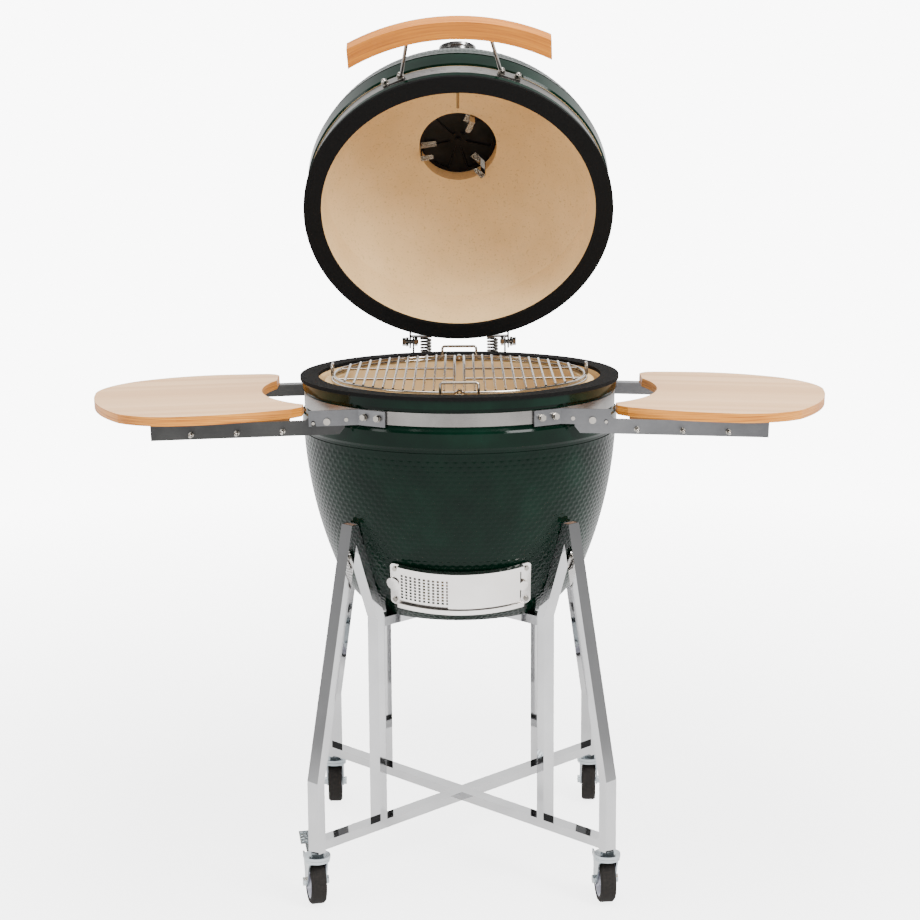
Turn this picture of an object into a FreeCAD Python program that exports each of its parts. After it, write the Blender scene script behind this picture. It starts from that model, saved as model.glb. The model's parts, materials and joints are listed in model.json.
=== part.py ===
"""Ceramic kamado charcoal grill on a wheeled stand, lid open, side shelves up.

Millimetres, +Z up. The stand's wheels touch the floor at Z = 0, and X = 0 is the grill's
plane of symmetry. The bowl's axis stands at Y = axis_y, which puts the origin under the
middle of the whole grill.
"""
import FreeCAD, Part
import math
import os
import Sketcher

Vector = FreeCAD.Vector
Placement = FreeCAD.Placement
Rotation = FreeCAD.Rotation

X_AXIS = Vector(1, 0, 0)
Y_AXIS = Vector(0, 1, 0)
Z_AXIS = Vector(0, 0, 1)
SIDES = {"left": -1, "right": 1}
ENDS = {"front": -1, "rear": 1}

# Driving dimensions, in millimetres and degrees.
DIMENSIONS = {
    # Where the bowl's axis stands.
    "axis_y": -78.5,
    # Bowl: radii and heights above the floor.
    "base_z": 460.0,
    "base_radius": 160.0,
    "belly_z": 537.0,
    "belly_radius": 213.0,
    "belly_bend": 176.0,
    "side_bend": 700.0,
    "wall": 27.0,
    "shoulder_z": 752.0,
    "shoulder_radius": 259.0,
    "collar_z": 757.0,
    "collar_radius": 262.0,
    "seat_z": 794.5,
    "seat_top_z": 815.5,
    "seat_radius": 256.8,
    "neck_radius": 255.0,
    "lip_z": 822.0,
    "lip_radius": 262.0,
    "rim_z": 836.0,
    "ring_z": 842.0,
    "rim_inner": 236.0,
    "felt_outer": 265.0,
    "felt_inner": 235.0,
    "felt_gap": 0.2,
    "band_thick": 1.8,
    # Clay liner and its cast iron grate.
    "firebox_top_z": 700.0,
    "firebox_floor_z": 543.0,
    "firebox_floor": 20.0,
    "firebox_hole": 70.0,
    "fire_ring_top_z": 832.0,
    "ash_grate_radius": 100.0,
    "ash_grate_thick": 10.0,
    # Draft door, on a cylinder that leans with the bowl's wall.
    "draft_lean": 21.6,
    "draft_centre_z": 519.5,
    "draft_centre_y": -211.0,
    "draft_radius": 227.0,
    "draft_half": 39.5,
    "draft_lip": 8.5,
    "draft_track": 3.0,
    "plate_thick": 1.2,
    # Lid, measured from the plane where the two felt rings meet.
    "lid_angle": 60.85,
    "hinge_y": 282.0,
    "hinge_z": 857.0,
    "lip_top": 20.0,
    "lid_seat": 26.5,
    "lid_seat_top": 47.5,
    "lid_collar_top": 86.0,
    "dome_start": 89.0,
    "dome_mid": 186.0,
    "dome_mid_radius": 203.0,
    "dome_top": 246.0,
    "chimney_top": 262.0,
    "chimney_outer": 84.0,
    "chimney_inner": 69.5,
    "chimney_mouth": 221.0,
    # Vent in the chimney.
    "vent_floor": 246.0,
    "vent_plate": 3.0,
    "vent_outer": 88.0,
    # Thermometer on the lid's front.
    "gauge_rise": 201.7,
    "gauge_back": 193.0,
    "gauge_lean": 50.5,
    "gauge_radius": 32.0,
    "gauge_depth": 14.0,
    "probe_length": 95.0,
    # Wooden lid handle.
    "handle_inner": 328.0,
    "handle_outer": 359.0,
    "handle_low": 8.0,
    "handle_high": 30.0,
    "handle_sweep": 64.0,
    "handle_half": 166.0,
    "handle_turn": -2.5,
    # Stand: rectangular tube, measured along the diagonals.
    "tube_wide": 25.0,
    "tube_thin": 15.0,
    "tube_wall": 1.5,
    "foot_reach": 332.3,
    "foot_z": 94.0,
    "kink_z": 212.0,
    "leg_top_reach": 248.9,
    "leg_top_z": 624.0,
    "post_reach": 195.9,
    "cross_top_z": 113.4,
    "arm_lean": 0.33766,
    # Casters.
    "wheel_radius": 37.5,
    "wheel_wide": 25.0,
    "tread": 9.0,
    "trail": 18.0,
    "axle_radius": 4.0,
    "race_radius": 21.5,
    "race_z": 83.5,
    "fork_gap": 27.0,
    "fork_plate": 2.5,
    "stem_radius": 5.0,
    "pedal_y": 42.0,
    "pedal_z": 74.0,
    # Shelves and their brackets.
    "pivot_x": 208.5,
    "pivot_z": 796.0,
    "shelf_droop": 1.8,
    "board_top_z": 813.5,
    "board_thick": 15.0,
    "arm_y": 205.5,
    "arm_thick": 3.0,
    "arm_low_z": 790.5,
    "arm_high_z": 815.3,
    "arm_bend_x": 156.5,
    "arm_end_x": 237.0,
    "arm_foot_x": 136.0,
    "lock_reach": 21.5,
    "rail_y": 202.2,
    "rail_thick": 2.5,
    "rail_low_z": 774.5,
    "rail_end_x": 487.0,
    "rail_flange": 25.0,
    # Rear hinge and its springs.
    "ear_thick": 3.0,
    "lid_ear_x": 88.5,
    "bowl_ear_x": 82.5,
    "pin_radius": 4.0,
    "pin_fit": 0.05,
    "spring_x": 60.5,
    "spring_y": 301.0,
    "spring_radius": 10.8,
    "spring_low_z": 794.0,
    "spring_high_z": 862.5,
    # Cooking grate.
    "grate_radius": 209.0,
    "grate_z": 840.3,
    "grate_wire": 2.5,
    "grate_rod": 2.0,
    "grate_pitch": 16.2,
    "frame_wire_z": 834.8,
    "frame_radius": 211.0,
    "lift_high": 22.5,
    "loop_high": 17.0,
}

document = FreeCAD.newDocument("kamado_grill")
sub_parts = []


class Size:
    """A number together with the spreadsheet expression that gives it."""

    def __init__(self, value, text):
        self.value = value
        self.text = text

    def __add__(self, other):
        return Size(number(self) + number(other), f"({self.text} + {expression(other)})")

    def __sub__(self, other):
        return Size(number(self) - number(other), f"({self.text} - {expression(other)})")

    def __mul__(self, other):
        return Size(number(self) * number(other), f"({self.text} * {expression(other)})")

    def __truediv__(self, other):
        return Size(number(self) / number(other), f"({self.text} / {expression(other)})")

    def __neg__(self):
        return Size(-self.value, f"(-1 * {self.text})")

    def __rsub__(self, other):
        return Size(number(other) - number(self), f"({expression(other)} - {self.text})")

    __radd__ = __add__
    __rmul__ = __mul__


def number(size):
    """The plain value of a Size or a number."""
    return size.value if isinstance(size, Size) else float(size)


def expression(size):
    """The expression text of a Size or a number."""
    return size.text if isinstance(size, Size) else repr(float(size))


def fill_sheet():
    """Write the driving dimensions to a spreadsheet, one alias each."""
    sheet = document.addObject("Spreadsheet::Sheet", "Sizes")
    for row, (name, value) in enumerate(DIMENSIONS.items(), start=1):
        sheet.set(f"A{row}", name)
        sheet.set(f"B{row}", repr(value))
        sheet.setAlias(f"B{row}", name)
    document.recompute()
    return {name: Size(sheet.get(name), f"Sizes.{name}") for name in DIMENSIONS}


S = fill_sheet()
N = {name: size.value for name, size in S.items()}


# ---------------------------------------------------------------- sketches and features

def arc_middle(start, end, radius):
    """The middle of the short arc between two points; a positive radius turns left."""
    chord = end - start
    half = chord.Length / 2
    rise = abs(radius) - math.sqrt(radius * radius - half * half)
    left = Vector(-chord.y, chord.x, 0).normalize()
    return (start + end) * 0.5 - left * math.copysign(rise, radius)


def flipped(outline):
    """An outline mirrored from right to left."""
    return [(-1 * corner[0], corner[1], *[-1 * bend for bend in corner[2:]]) for corner in outline]


def upside_down(outline):
    """An outline mirrored from top to bottom."""
    return [(corner[0], -1 * corner[1], *[-1 * bend for bend in corner[2:]]) for corner in outline]


def bind(sketch, constraint, size):
    """Add a dimension and tie it to the spreadsheet."""
    index = sketch.addConstraint(constraint)
    if isinstance(size, Size):
        sketch.setExpression(f"Constraints[{index}]", size.text)


def fix_point(sketch, geometry, end, corner):
    """Hold one end of an edge at its two coordinates."""
    for kind, axis, size in (("DistanceX", -2, corner[0]), ("DistanceY", -1, corner[1])):
        if number(size) == 0:
            sketch.addConstraint(Sketcher.Constraint("PointOnObject", geometry, end, axis))
        else:
            value = number(size)
            bind(sketch, Sketcher.Constraint(kind, -1, 1, geometry, end, value), size)


def end_at(sketch, geometry, point):
    """Which end of an edge lies at a point: 1 for its start and 2 for its end."""
    return 1 if (sketch.getPoint(geometry, 1) - point).Length < 1e-4 else 2


def draw_outline(sketch, outline):
    """Draw one closed outline; a corner's third value is the radius of the edge after it."""
    first = sketch.GeometryCount
    points = [Vector(number(corner[0]), number(corner[1]), 0) for corner in outline]
    count = len(points)
    for index, corner in enumerate(outline):
        start, end = points[index], points[(index + 1) % count]
        if len(corner) == 3:
            middle = arc_middle(start, end, number(corner[2]))
            sketch.addGeometry(Part.Arc(start, middle, end), False)
        else:
            sketch.addGeometry(Part.LineSegment(start, end), False)
    for index, corner in enumerate(outline):
        edge = first + index
        following = first + (index + 1) % count
        joint = points[(index + 1) % count]
        ends = end_at(sketch, edge, joint), end_at(sketch, following, joint)
        sketch.addConstraint(Sketcher.Constraint("Coincident", edge, ends[0], following, ends[1]))
        fix_point(sketch, edge, end_at(sketch, edge, points[index]), corner)
        if len(corner) == 3:
            radius = corner[2] if number(corner[2]) > 0 else -1 * corner[2]
            bind(sketch, Sketcher.Constraint("Radius", edge, number(radius)), radius)


def draw_circle(sketch, x, y, radius):
    """Draw a circle with its centre and radius held."""
    index = sketch.GeometryCount
    centre = Vector(number(x), number(y), 0)
    sketch.addGeometry(Part.Circle(centre, Z_AXIS, number(radius)), False)
    fix_point(sketch, index, 3, (x, y))
    bind(sketch, Sketcher.Constraint("Radius", index, number(radius)), radius)


def new_sketch(body, plane, outlines=(), circles=(), offset=0.0):
    """A sketch on one of the body's origin planes, moved along its normal by the offset."""
    sketch = body.newObject("Sketcher::SketchObject", f"{body.Name}_sketch")
    origin = next(item for item in body.Origin.OriginFeatures if item.Role == plane)
    sketch.AttachmentSupport = [(origin, "")]
    sketch.MapMode = "FlatFace"
    if number(offset) != 0:
        sketch.AttachmentOffset = Placement(Vector(0, 0, number(offset)), Rotation())
        if isinstance(offset, Size):
            sketch.setExpression("AttachmentOffset.Base.z", offset.text)
    for outline in outlines:
        draw_outline(sketch, outline)
    for circle in circles:
        draw_circle(sketch, *circle)
    return sketch


def new_body(label):
    """An empty body that becomes one sub-part."""
    body = document.addObject("PartDesign::Body", label)
    body.Label = label
    sub_parts.append(body)
    return body


def set_length(feature, name, size):
    """Set a feature's length or angle and tie it to the spreadsheet."""
    setattr(feature, name, number(size))
    if isinstance(size, Size):
        feature.setExpression(name, size.text)


def revolve(body, plane, outlines, sweep=360.0):
    """Turn outlines about the plane's vertical axis, evenly to both sides."""
    sketch = new_sketch(body, plane, outlines)
    feature = body.newObject("PartDesign::Revolution", f"{body.Name}_turned")
    feature.Profile = sketch
    feature.ReferenceAxis = (sketch, ["V_Axis"])
    feature.Midplane = number(sweep) < 360
    set_length(feature, "Angle", sweep)
    return feature


def pad(body, plane, outlines, length, circles=(), offset=0.0, both_ways=False):
    """Raise outlines from a plane."""
    sketch = new_sketch(body, plane, outlines, circles, offset)
    feature = body.newObject("PartDesign::Pad", f"{body.Name}_pad")
    feature.Profile = sketch
    feature.Midplane = both_ways
    set_length(feature, "Length", length)
    return feature


def pocket(body, plane, outlines, length, circles=(), offset=0.0, both_ways=False, forward=False):
    """Cut outlines out of the body, behind the plane unless forward is set."""
    document.recompute()
    before = body.Shape.Volume
    sketch = new_sketch(body, plane, outlines, circles, offset)
    feature = body.newObject("PartDesign::Pocket", f"{body.Name}_cut")
    feature.Profile = sketch
    feature.Midplane = both_ways
    feature.Reversed = forward
    set_length(feature, "Length", length)
    document.recompute()
    if body.Shape.Volume > before - 0.01:
        raise ValueError(f"{body.Label}: a cut removed nothing")
    return feature


def rectangle(left, low, right, high):
    """A rectangle as an outline."""
    return [(left, low), (right, low), (right, high), (left, high)]


def solid_part(label, shapes, placement=Placement()):
    """A sub-part made of one or more solids that Part's functions give."""
    part = document.addObject("Part::Feature", label)
    part.Label = label
    part.Shape = shapes[0] if len(shapes) == 1 else Part.makeCompound(shapes)
    part.Placement = placement
    sub_parts.append(part)
    return part


def fused(shapes):
    """One solid out of shapes that overlap."""
    joined = shapes[0].multiFuse(shapes[1:]).removeSplitter()
    return joined.Solids[0] if len(joined.Solids) == 1 else joined


def rod(start, end, radius):
    """A round bar from one point to another."""
    along = end - start
    return Part.makeCylinder(radius, along.Length, start, along)


def bent_rod(points, bend, radius):
    """A round bar along straight runs joined by tangent arcs."""
    edges = []
    start = points[0]
    for before, corner, after in zip(points, points[1:], points[2:]):
        arriving = (corner - before).normalize()
        leaving = (after - corner).normalize()
        turn = arriving.getAngle(leaving)
        setback = bend * math.tan(turn / 2)
        inward = (leaving - arriving).normalize()
        centre = corner + inward * (bend / math.cos(turn / 2))
        near, far = corner - arriving * setback, corner + leaving * setback
        edges.append(Part.LineSegment(start, near).toShape())
        edges.append(Part.Arc(near, centre - inward * bend, far).toShape())
        start = far
    edges.append(Part.LineSegment(start, points[-1]).toShape())
    section = Part.Wire(Part.makeCircle(radius, points[0], points[1] - points[0]))
    return Part.Wire(edges).makePipeShell([section], True, True)


def hexagon(across, height, base, axis):
    """A hexagonal prism, as for a nut or a bolt's head."""
    corner = across / math.sqrt(3)
    points = [Vector(corner * math.cos(math.radians(60 * step)),
                     corner * math.sin(math.radians(60 * step)), 0) for step in range(7)]
    prism = Part.Face(Part.makePolygon(points)).extrude(Vector(0, 0, height))
    prism.Placement = Placement(base, Rotation(Z_AXIS, axis))
    return prism


def washer_bolt(base, axis, across=10.0, head=5.0, shank=3.0, reach=6.0):
    """A hex bolt seen from outside: head, washer and the shank that goes into the part."""
    unit = Vector(axis).normalize()
    washer = Part.makeCylinder(across * 0.62, 1.2, base, unit)
    head_block = hexagon(across, head, base + unit * 1.2, unit)
    stud = Part.makeCylinder(shank, reach + 1.2, base - unit * reach, unit)
    return fused([washer, head_block, stud])


def acorn_bolt(base, axis, radius=5.2, reach=6.0):
    """A domed nut on its washer and stud."""
    unit = Vector(axis).normalize()
    washer = Part.makeCylinder(radius * 1.3, 1.2, base, unit)
    skirt = hexagon(radius * 1.9, 4.0, base + unit * 1.2, unit)
    dome = Part.makeSphere(radius * 0.85, base + unit * 5.2)
    stud = Part.makeCylinder(radius * 0.55, reach + 1.2, base - unit * reach, unit)
    return fused([washer, skirt, dome, stud])


# ---------------------------------------------------------------- frames of reference

BOWL = Placement(Vector(0, N["axis_y"], 0), Rotation())


def lid_frame():
    """The frame of the open lid: its origin is the middle of the felt ring's lower face."""
    turn = Rotation(X_AXIS, -N["lid_angle"])
    hinge = Vector(0, N["axis_y"] + N["hinge_y"], N["hinge_z"])
    ring = Vector(0, -N["hinge_y"], N["ring_z"] - N["hinge_z"])
    return Placement(hinge + turn.multVec(ring), turn)


def gauge_place():
    """The thermometer's place on the lid: its Z axis points out of the dome."""
    lean = math.radians(N["gauge_lean"])
    out = Vector(0, -math.cos(lean), math.sin(lean))
    return Placement(Vector(0, -N["gauge_back"], N["gauge_rise"]), Rotation(Z_AXIS, out))


def draft_frame_of_reference():
    """The frame of the draft door: its Z axis is the axis that the plates slide about."""
    lean = math.radians(N["draft_lean"])
    out = Vector(0, -math.cos(lean), -math.sin(lean))
    centre = Vector(0, N["axis_y"] + N["draft_centre_y"], N["draft_centre_z"])
    return Placement(centre - out * N["draft_radius"], Rotation(X_AXIS, N["draft_lean"]))


def shelf_frame(side):
    """The frame of a shelf: level coordinates turned down about the pivot by the droop."""
    pivot = Vector(side * N["pivot_x"], 0, N["pivot_z"])
    turn = Rotation(Y_AXIS, side * N["shelf_droop"])
    return Placement(BOWL.Base + pivot - turn.multVec(pivot), turn)


def diagonal(side, end):
    """The frame of one corner of the stand: its X axis points out along the diagonal."""
    return Placement(BOWL.Base, Rotation(Z_AXIS, math.degrees(math.atan2(end, side))))


LID = lid_frame()
HANDLE = LID.multiply(Placement(Vector(), Rotation(Z_AXIS, N["handle_turn"])))
DRAFT = draft_frame_of_reference()
GAUGE = LID.multiply(gauge_place())


# ---------------------------------------------------------------- bowl and liner

def bowl_outline():
    """Half section of the ceramic bowl, from the axis out, up the outside and back in."""
    inner_foot = S["base_radius"] - S["wall"] * 0.8
    return [
        (0, S["base_z"]),
        (S["base_radius"], S["base_z"], S["belly_bend"]),
        (S["belly_radius"], S["belly_z"], S["side_bend"]),
        (S["shoulder_radius"], S["shoulder_z"]),
        (S["collar_radius"] - 2, S["collar_z"]),
        (S["collar_radius"], S["collar_z"] + 4),
        (S["collar_radius"], S["seat_z"] - 11),
        (S["collar_radius"] - 1.5, S["seat_z"] - 7.5),
        (S["collar_radius"] - 4.2, S["seat_z"] - 4.2),
        (S["seat_radius"], S["seat_z"]),
        (S["seat_radius"], S["seat_top_z"]),
        (S["neck_radius"], S["seat_top_z"]),
        (S["neck_radius"], S["lip_z"] - 1),
        (S["lip_radius"], S["lip_z"]),
        (S["lip_radius"], S["rim_z"]),
        (S["rim_inner"], S["rim_z"]),
        (S["shoulder_radius"] - S["wall"], S["shoulder_z"], -1 * (S["side_bend"] - S["wall"])),
        (S["belly_radius"] - S["wall"], S["belly_z"], -1 * (S["belly_bend"] - S["wall"])),
        (inner_foot, S["base_z"] + S["wall"]),
        (0, S["base_z"] + S["wall"]),
    ]


def make_bowl():
    """The ceramic bowl with its draft opening."""
    bowl = new_body("bowl_shell")
    revolve(bowl, "XZ_Plane", [bowl_outline()])
    opening = rectangle(-62, S["draft_centre_z"] - 21, 62, S["draft_centre_z"] + 25)
    pocket(bowl, "XZ_Plane", [opening], 300, forward=True)
    bowl.Placement = BOWL


def make_rings():
    """The felt ring and the steel band round the bowl."""
    felt = new_body("bowl_gasket")
    top = S["ring_z"] - S["felt_gap"]
    revolve(felt, "XZ_Plane", [rectangle(S["felt_inner"], S["rim_z"], S["felt_outer"], top)])
    felt.Placement = BOWL
    band = new_body("bowl_band")
    outer = S["seat_radius"] + S["band_thick"]
    revolve(band, "XZ_Plane", [rectangle(S["seat_radius"], S["seat_z"], outer, S["seat_top_z"])])
    band.Placement = BOWL


def make_firebox():
    """The clay firebox, open below its floor and cut away in front for air and ash."""
    firebox = new_body("firebox")
    foot_z = S["base_z"] + S["wall"]
    floor_top = S["firebox_floor_z"] + S["firebox_floor"]
    outline = [
        (103, foot_z),
        (125, foot_z),
        (165, S["firebox_floor_z"]),
        (192, S["firebox_top_z"] - 60),
        (200, S["firebox_top_z"]),
        (178, S["firebox_top_z"]),
        (170, S["firebox_top_z"] - 60),
        (146, floor_top),
        (S["firebox_hole"], floor_top),
        (S["firebox_hole"], S["firebox_floor_z"]),
        (140, S["firebox_floor_z"]),
    ]
    revolve(firebox, "XZ_Plane", [outline])
    mouth = rectangle(-55, foot_z - 5, 55, S["firebox_floor_z"] - 4)
    pocket(firebox, "XZ_Plane", [mouth], 300, forward=True)
    firebox.Placement = BOWL


def make_fire_ring():
    """The clay ring on the firebox that carries the cooking grate."""
    ring = new_body("fire_ring")
    outline = [
        (176, S["firebox_top_z"]),
        (200, S["firebox_top_z"]),
        (222, S["firebox_top_z"] + 75),
        (224, S["fire_ring_top_z"]),
        (203, S["fire_ring_top_z"]),
        (202, S["firebox_top_z"] + 82),
    ]
    revolve(ring, "XZ_Plane", [outline])
    ring.Placement = BOWL


def make_ash_grate():
    """The cast iron grate on the firebox floor, with a centre hole and two rings of slots."""
    grate = new_body("charcoal_grate")
    bottom = S["firebox_floor_z"] + S["firebox_floor"]
    top = bottom + S["ash_grate_thick"]
    revolve(grate, "XZ_Plane", [rectangle(9, bottom, S["ash_grate_radius"], top)])
    for inner, outer, half, count in ((20, 46, 4.5, 8), (54, 66, 5.5, 16)):
        document.recompute()
        slot = pocket(grate, "XY_Plane", [rectangle(inner, -half, outer, half)], 900, forward=True)
        pattern = grate.newObject("PartDesign::PolarPattern", "slots")
        pattern.Originals = [slot]
        pattern.Axis = (slot.Profile[0], ["N_Axis"])
        pattern.Angle = 360
        pattern.Occurrences = count
        grate.Tip = pattern
    grate.Placement = BOWL


# ---------------------------------------------------------------- draft door

def make_draft_frame():
    """The curved plate round the draft opening with a channel along its top and bottom."""
    frame = new_body("draft_frame")
    back, face = -1 * S["draft_radius"], -1 * (S["draft_radius"] + 2)
    front = -1 * (S["draft_radius"] + 9)
    half, lip = S["draft_half"], S["draft_lip"]
    revolve(frame, "YZ_Plane", [rectangle(back, -1 * half, face, half)], 58.8)
    for sign in (1, -1):
        channel = [
            (face + 0.5, sign * half),
            (front, sign * half),
            (front, sign * (half - lip)),
            (front + 1.6, sign * (half - lip)),
            (front + 1.6, sign * (half - S["draft_track"])),
            (face + 0.5, sign * (half - S["draft_track"])),
        ]
        revolve(frame, "YZ_Plane", [channel], 51)
    pocket(frame, "XZ_Plane", [rectangle(-97, -26, 97, 26)], 300, forward=True)
    corner = [(112.4, 32.5, 7), (105.4, 39.5), (105.4, 42), (118, 42), (118, 32.5)]
    left = flipped(corner)
    for outline in (corner, left, upside_down(corner), upside_down(left)):
        pocket(frame, "XZ_Plane", [outline], 300, forward=True)
    frame.Placement = DRAFT


def curved_plate(radius, start, end, half):
    """A plate of the draft door's thickness, bent about Z, from one angle to another."""
    height = 2 * half
    outer = Part.makeCylinder(radius + N["plate_thick"], height, Vector(0, 0, -half), Z_AXIS,
                              end - start)
    inner = Part.makeCylinder(radius, height, Vector(0, 0, -half), Z_AXIS, end - start)
    plate = outer.cut(inner)
    plate.rotate(Vector(), Z_AXIS, start - 90)
    return plate


def finger_tab(radius, angle, size):
    """A round tab that continues a bent plate past its end."""
    disc = Part.makeCylinder(size, 30, Vector(0, -radius + 10, 0), Vector(0, -1, 0))
    disc.rotate(Vector(), Z_AXIS, angle)
    return disc


def make_draft_plates():
    """The perforated screen in the inner track and the plain door in the outer one."""
    half = N["draft_half"] - N["draft_track"] - 0.4
    screen_radius = N["draft_radius"] + 3.1
    door_radius = N["draft_radius"] + 5.3
    screen = curved_plate(screen_radius, -25.2, 0.5, half)
    tab = curved_plate(screen_radius, -33, -20, half).common(finger_tab(screen_radius, -28, 11.5))
    screen = fused([screen, tab])
    holes = []
    for column in range(11):
        for row in range(8):
            hole = Part.makeBox(3.9, 30, 3.9, Vector(-1.95, -screen_radius - 15, 6 * (row - 3.5) - 1.95))
            hole.rotate(Vector(), Z_AXIS, -24 + 1.87 * column)
            holes.append(hole)
    solid_part("draft_screen", [screen.cut(Part.makeCompound(holes))], DRAFT)
    door = curved_plate(door_radius, -5, 24, half)
    knob = curved_plate(door_radius, 20, 29, half).common(finger_tab(door_radius, 25.4, 8.5))
    solid_part("draft_door", [fused([door, knob])], DRAFT)


# ---------------------------------------------------------------- lid

def lid_outline():
    """Half section of the ceramic lid with its chimney."""
    return [
        (S["rim_inner"], 6),
        (S["lip_radius"], 6),
        (S["lip_radius"], S["lip_top"]),
        (S["neck_radius"], S["lip_top"] + 1),
        (S["neck_radius"], S["lid_seat"]),
        (S["seat_radius"], S["lid_seat"]),
        (S["seat_radius"], S["lid_seat_top"]),
        (S["collar_radius"] - 3, S["lid_seat_top"]),
        (S["collar_radius"], S["lid_seat_top"] + 3),
        (S["collar_radius"], S["lid_collar_top"] - 4),
        (S["collar_radius"] - 2, S["lid_collar_top"]),
        (S["shoulder_radius"], S["dome_start"], 170),
        (S["dome_mid_radius"], S["dome_mid"], 240),
        (S["chimney_outer"], S["dome_top"]),
        (S["chimney_outer"] - 3, S["chimney_top"]),
        (S["chimney_inner"], S["chimney_top"]),
        (S["chimney_inner"], S["chimney_mouth"], -213),
        (S["dome_mid_radius"] - 21, S["dome_mid"] - 18, -143),
        (S["shoulder_radius"] - S["wall"] + 1, S["dome_start"]),
    ]


def make_lid():
    """The ceramic lid, its felt ring and its steel band."""
    lid = new_body("lid_shell")
    revolve(lid, "XZ_Plane", [lid_outline()])
    hole = lid.newObject("PartDesign::SubtractiveCylinder", "gauge_hole")
    hole.Radius = 6
    hole.Height = 80
    hole.Placement = gauge_place().multiply(Placement(Vector(0, 0, -60), Rotation()))
    lid.Placement = LID
    felt = new_body("lid_gasket")
    revolve(felt, "XZ_Plane", [rectangle(S["felt_inner"], S["felt_gap"], S["felt_outer"], 6)])
    felt.Placement = LID
    band = new_body("lid_band")
    outer = S["seat_radius"] + S["band_thick"]
    revolve(band, "XZ_Plane", [rectangle(S["seat_radius"], S["lid_seat"], outer, S["lid_seat_top"])])
    band.Placement = LID


def make_handle():
    """The wooden handle, an arc concentric with the lid."""
    handle = new_body("lid_handle")
    outline = rectangle(-1 * S["handle_outer"], S["handle_low"],
                        -1 * S["handle_inner"], S["handle_high"])
    revolve(handle, "YZ_Plane", [outline], S["handle_sweep"])
    beyond = rectangle(S["handle_half"], 0, 240, 60)
    pocket(handle, "XZ_Plane", [beyond, flipped(beyond)[::-1]], 400, forward=True)
    handle.Placement = HANDLE


def on_ring(radius, x, height, front=-1):
    """The point on a ring about the lid's or bowl's axis that has this X."""
    return Vector(x, front * math.sqrt(radius * radius - x * x), height)


def make_handle_rods():
    """Two rods that hold the handle, each ending in a foot on the lid's band."""
    band = N["seat_radius"] + N["band_thick"]
    height = (N["lid_seat"] + N["lid_seat_top"]) / 2
    level = (N["handle_low"] + N["handle_high"]) / 2
    rods = []
    for side in SIDES.values():
        angle = math.degrees(math.asin(95 / band))
        foot = Part.makeBox(38, 2.5, 16, Vector(-19, -band - 2.6, height - 8))
        foot.rotate(Vector(), Z_AXIS, side * angle)
        low = on_ring(band + 1.5, side * 83, height)
        high = on_ring(N["handle_inner"] + 0.5, side * 68, level)
        bar = rod(low + (low - high).normalize() * -1, high, 3)
        rods.append(fused([foot, bar]))
    solid_part("handle_rods", rods, HANDLE)


def make_gauge():
    """The thermometer: case with probe, needle and glass, all square to the dome."""
    radius, depth = N["gauge_radius"], N["gauge_depth"]
    can = Part.makeCylinder(radius - 4, depth)
    bezel = Part.makeCylinder(radius, 5, Vector(0, 0, depth - 5))
    recess = Part.makeCylinder(radius - 6, depth, Vector(0, 0, depth - 7))
    collar = Part.makeCylinder(9, 4, Vector(0, 0, -3.8))
    probe = Part.makeCylinder(2.5, N["probe_length"], Vector(0, 0, -N["probe_length"]))
    hub = Part.makeCylinder(5.5, 36, Vector(0, 0, -35))
    spindle = Part.makeCylinder(0.8, 3.2, Vector(0, 0, depth - 7.5))
    case = fused([can.fuse(bezel).cut(recess), collar, probe, hub, spindle])
    solid_part("thermometer_case", [case], GAUGE)
    glass = Part.makeCylinder(radius - 6, 1.5, Vector(0, 0, depth - 2))
    solid_part("thermometer_lens", [glass], GAUGE)
    boss = Part.makeCylinder(3, 1.2, Vector(0, 0, depth - 6))
    pointer = Part.makeBox(1.6, 27, 0.8, Vector(-0.8, -6, depth - 5.8))
    bore = Part.makeCylinder(0.85, 5, Vector(0, 0, depth - 7))
    needle = boss.fuse(pointer).cut(bore)
    turn = Placement(Vector(), Rotation(Z_AXIS, 130))
    solid_part("thermometer_needle", [needle.Solids[0]], GAUGE.multiply(turn))


def petal(inner, outer, half_angle, low, high):
    """A wedge between two radii, centred on +X, for the vent's openings."""
    height = high - low
    base = Vector(0, 0, low)
    wedge = Part.makeCylinder(outer, height, base, Z_AXIS, 2 * half_angle)
    core = Part.makeCylinder(inner, height, base, Z_AXIS, 2 * half_angle)
    piece = wedge.cut(core)
    piece.rotate(Vector(), Z_AXIS, -half_angle)
    return piece


def petals(inner, outer, low, high, shift=0.0):
    """The six openings of the vent."""
    pieces = []
    for step in range(6):
        piece = petal(inner, outer, 14, low, high)
        piece.rotate(Vector(), Z_AXIS, 60 * step + shift)
        pieces.append(piece)
    return Part.makeCompound(pieces)


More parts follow.
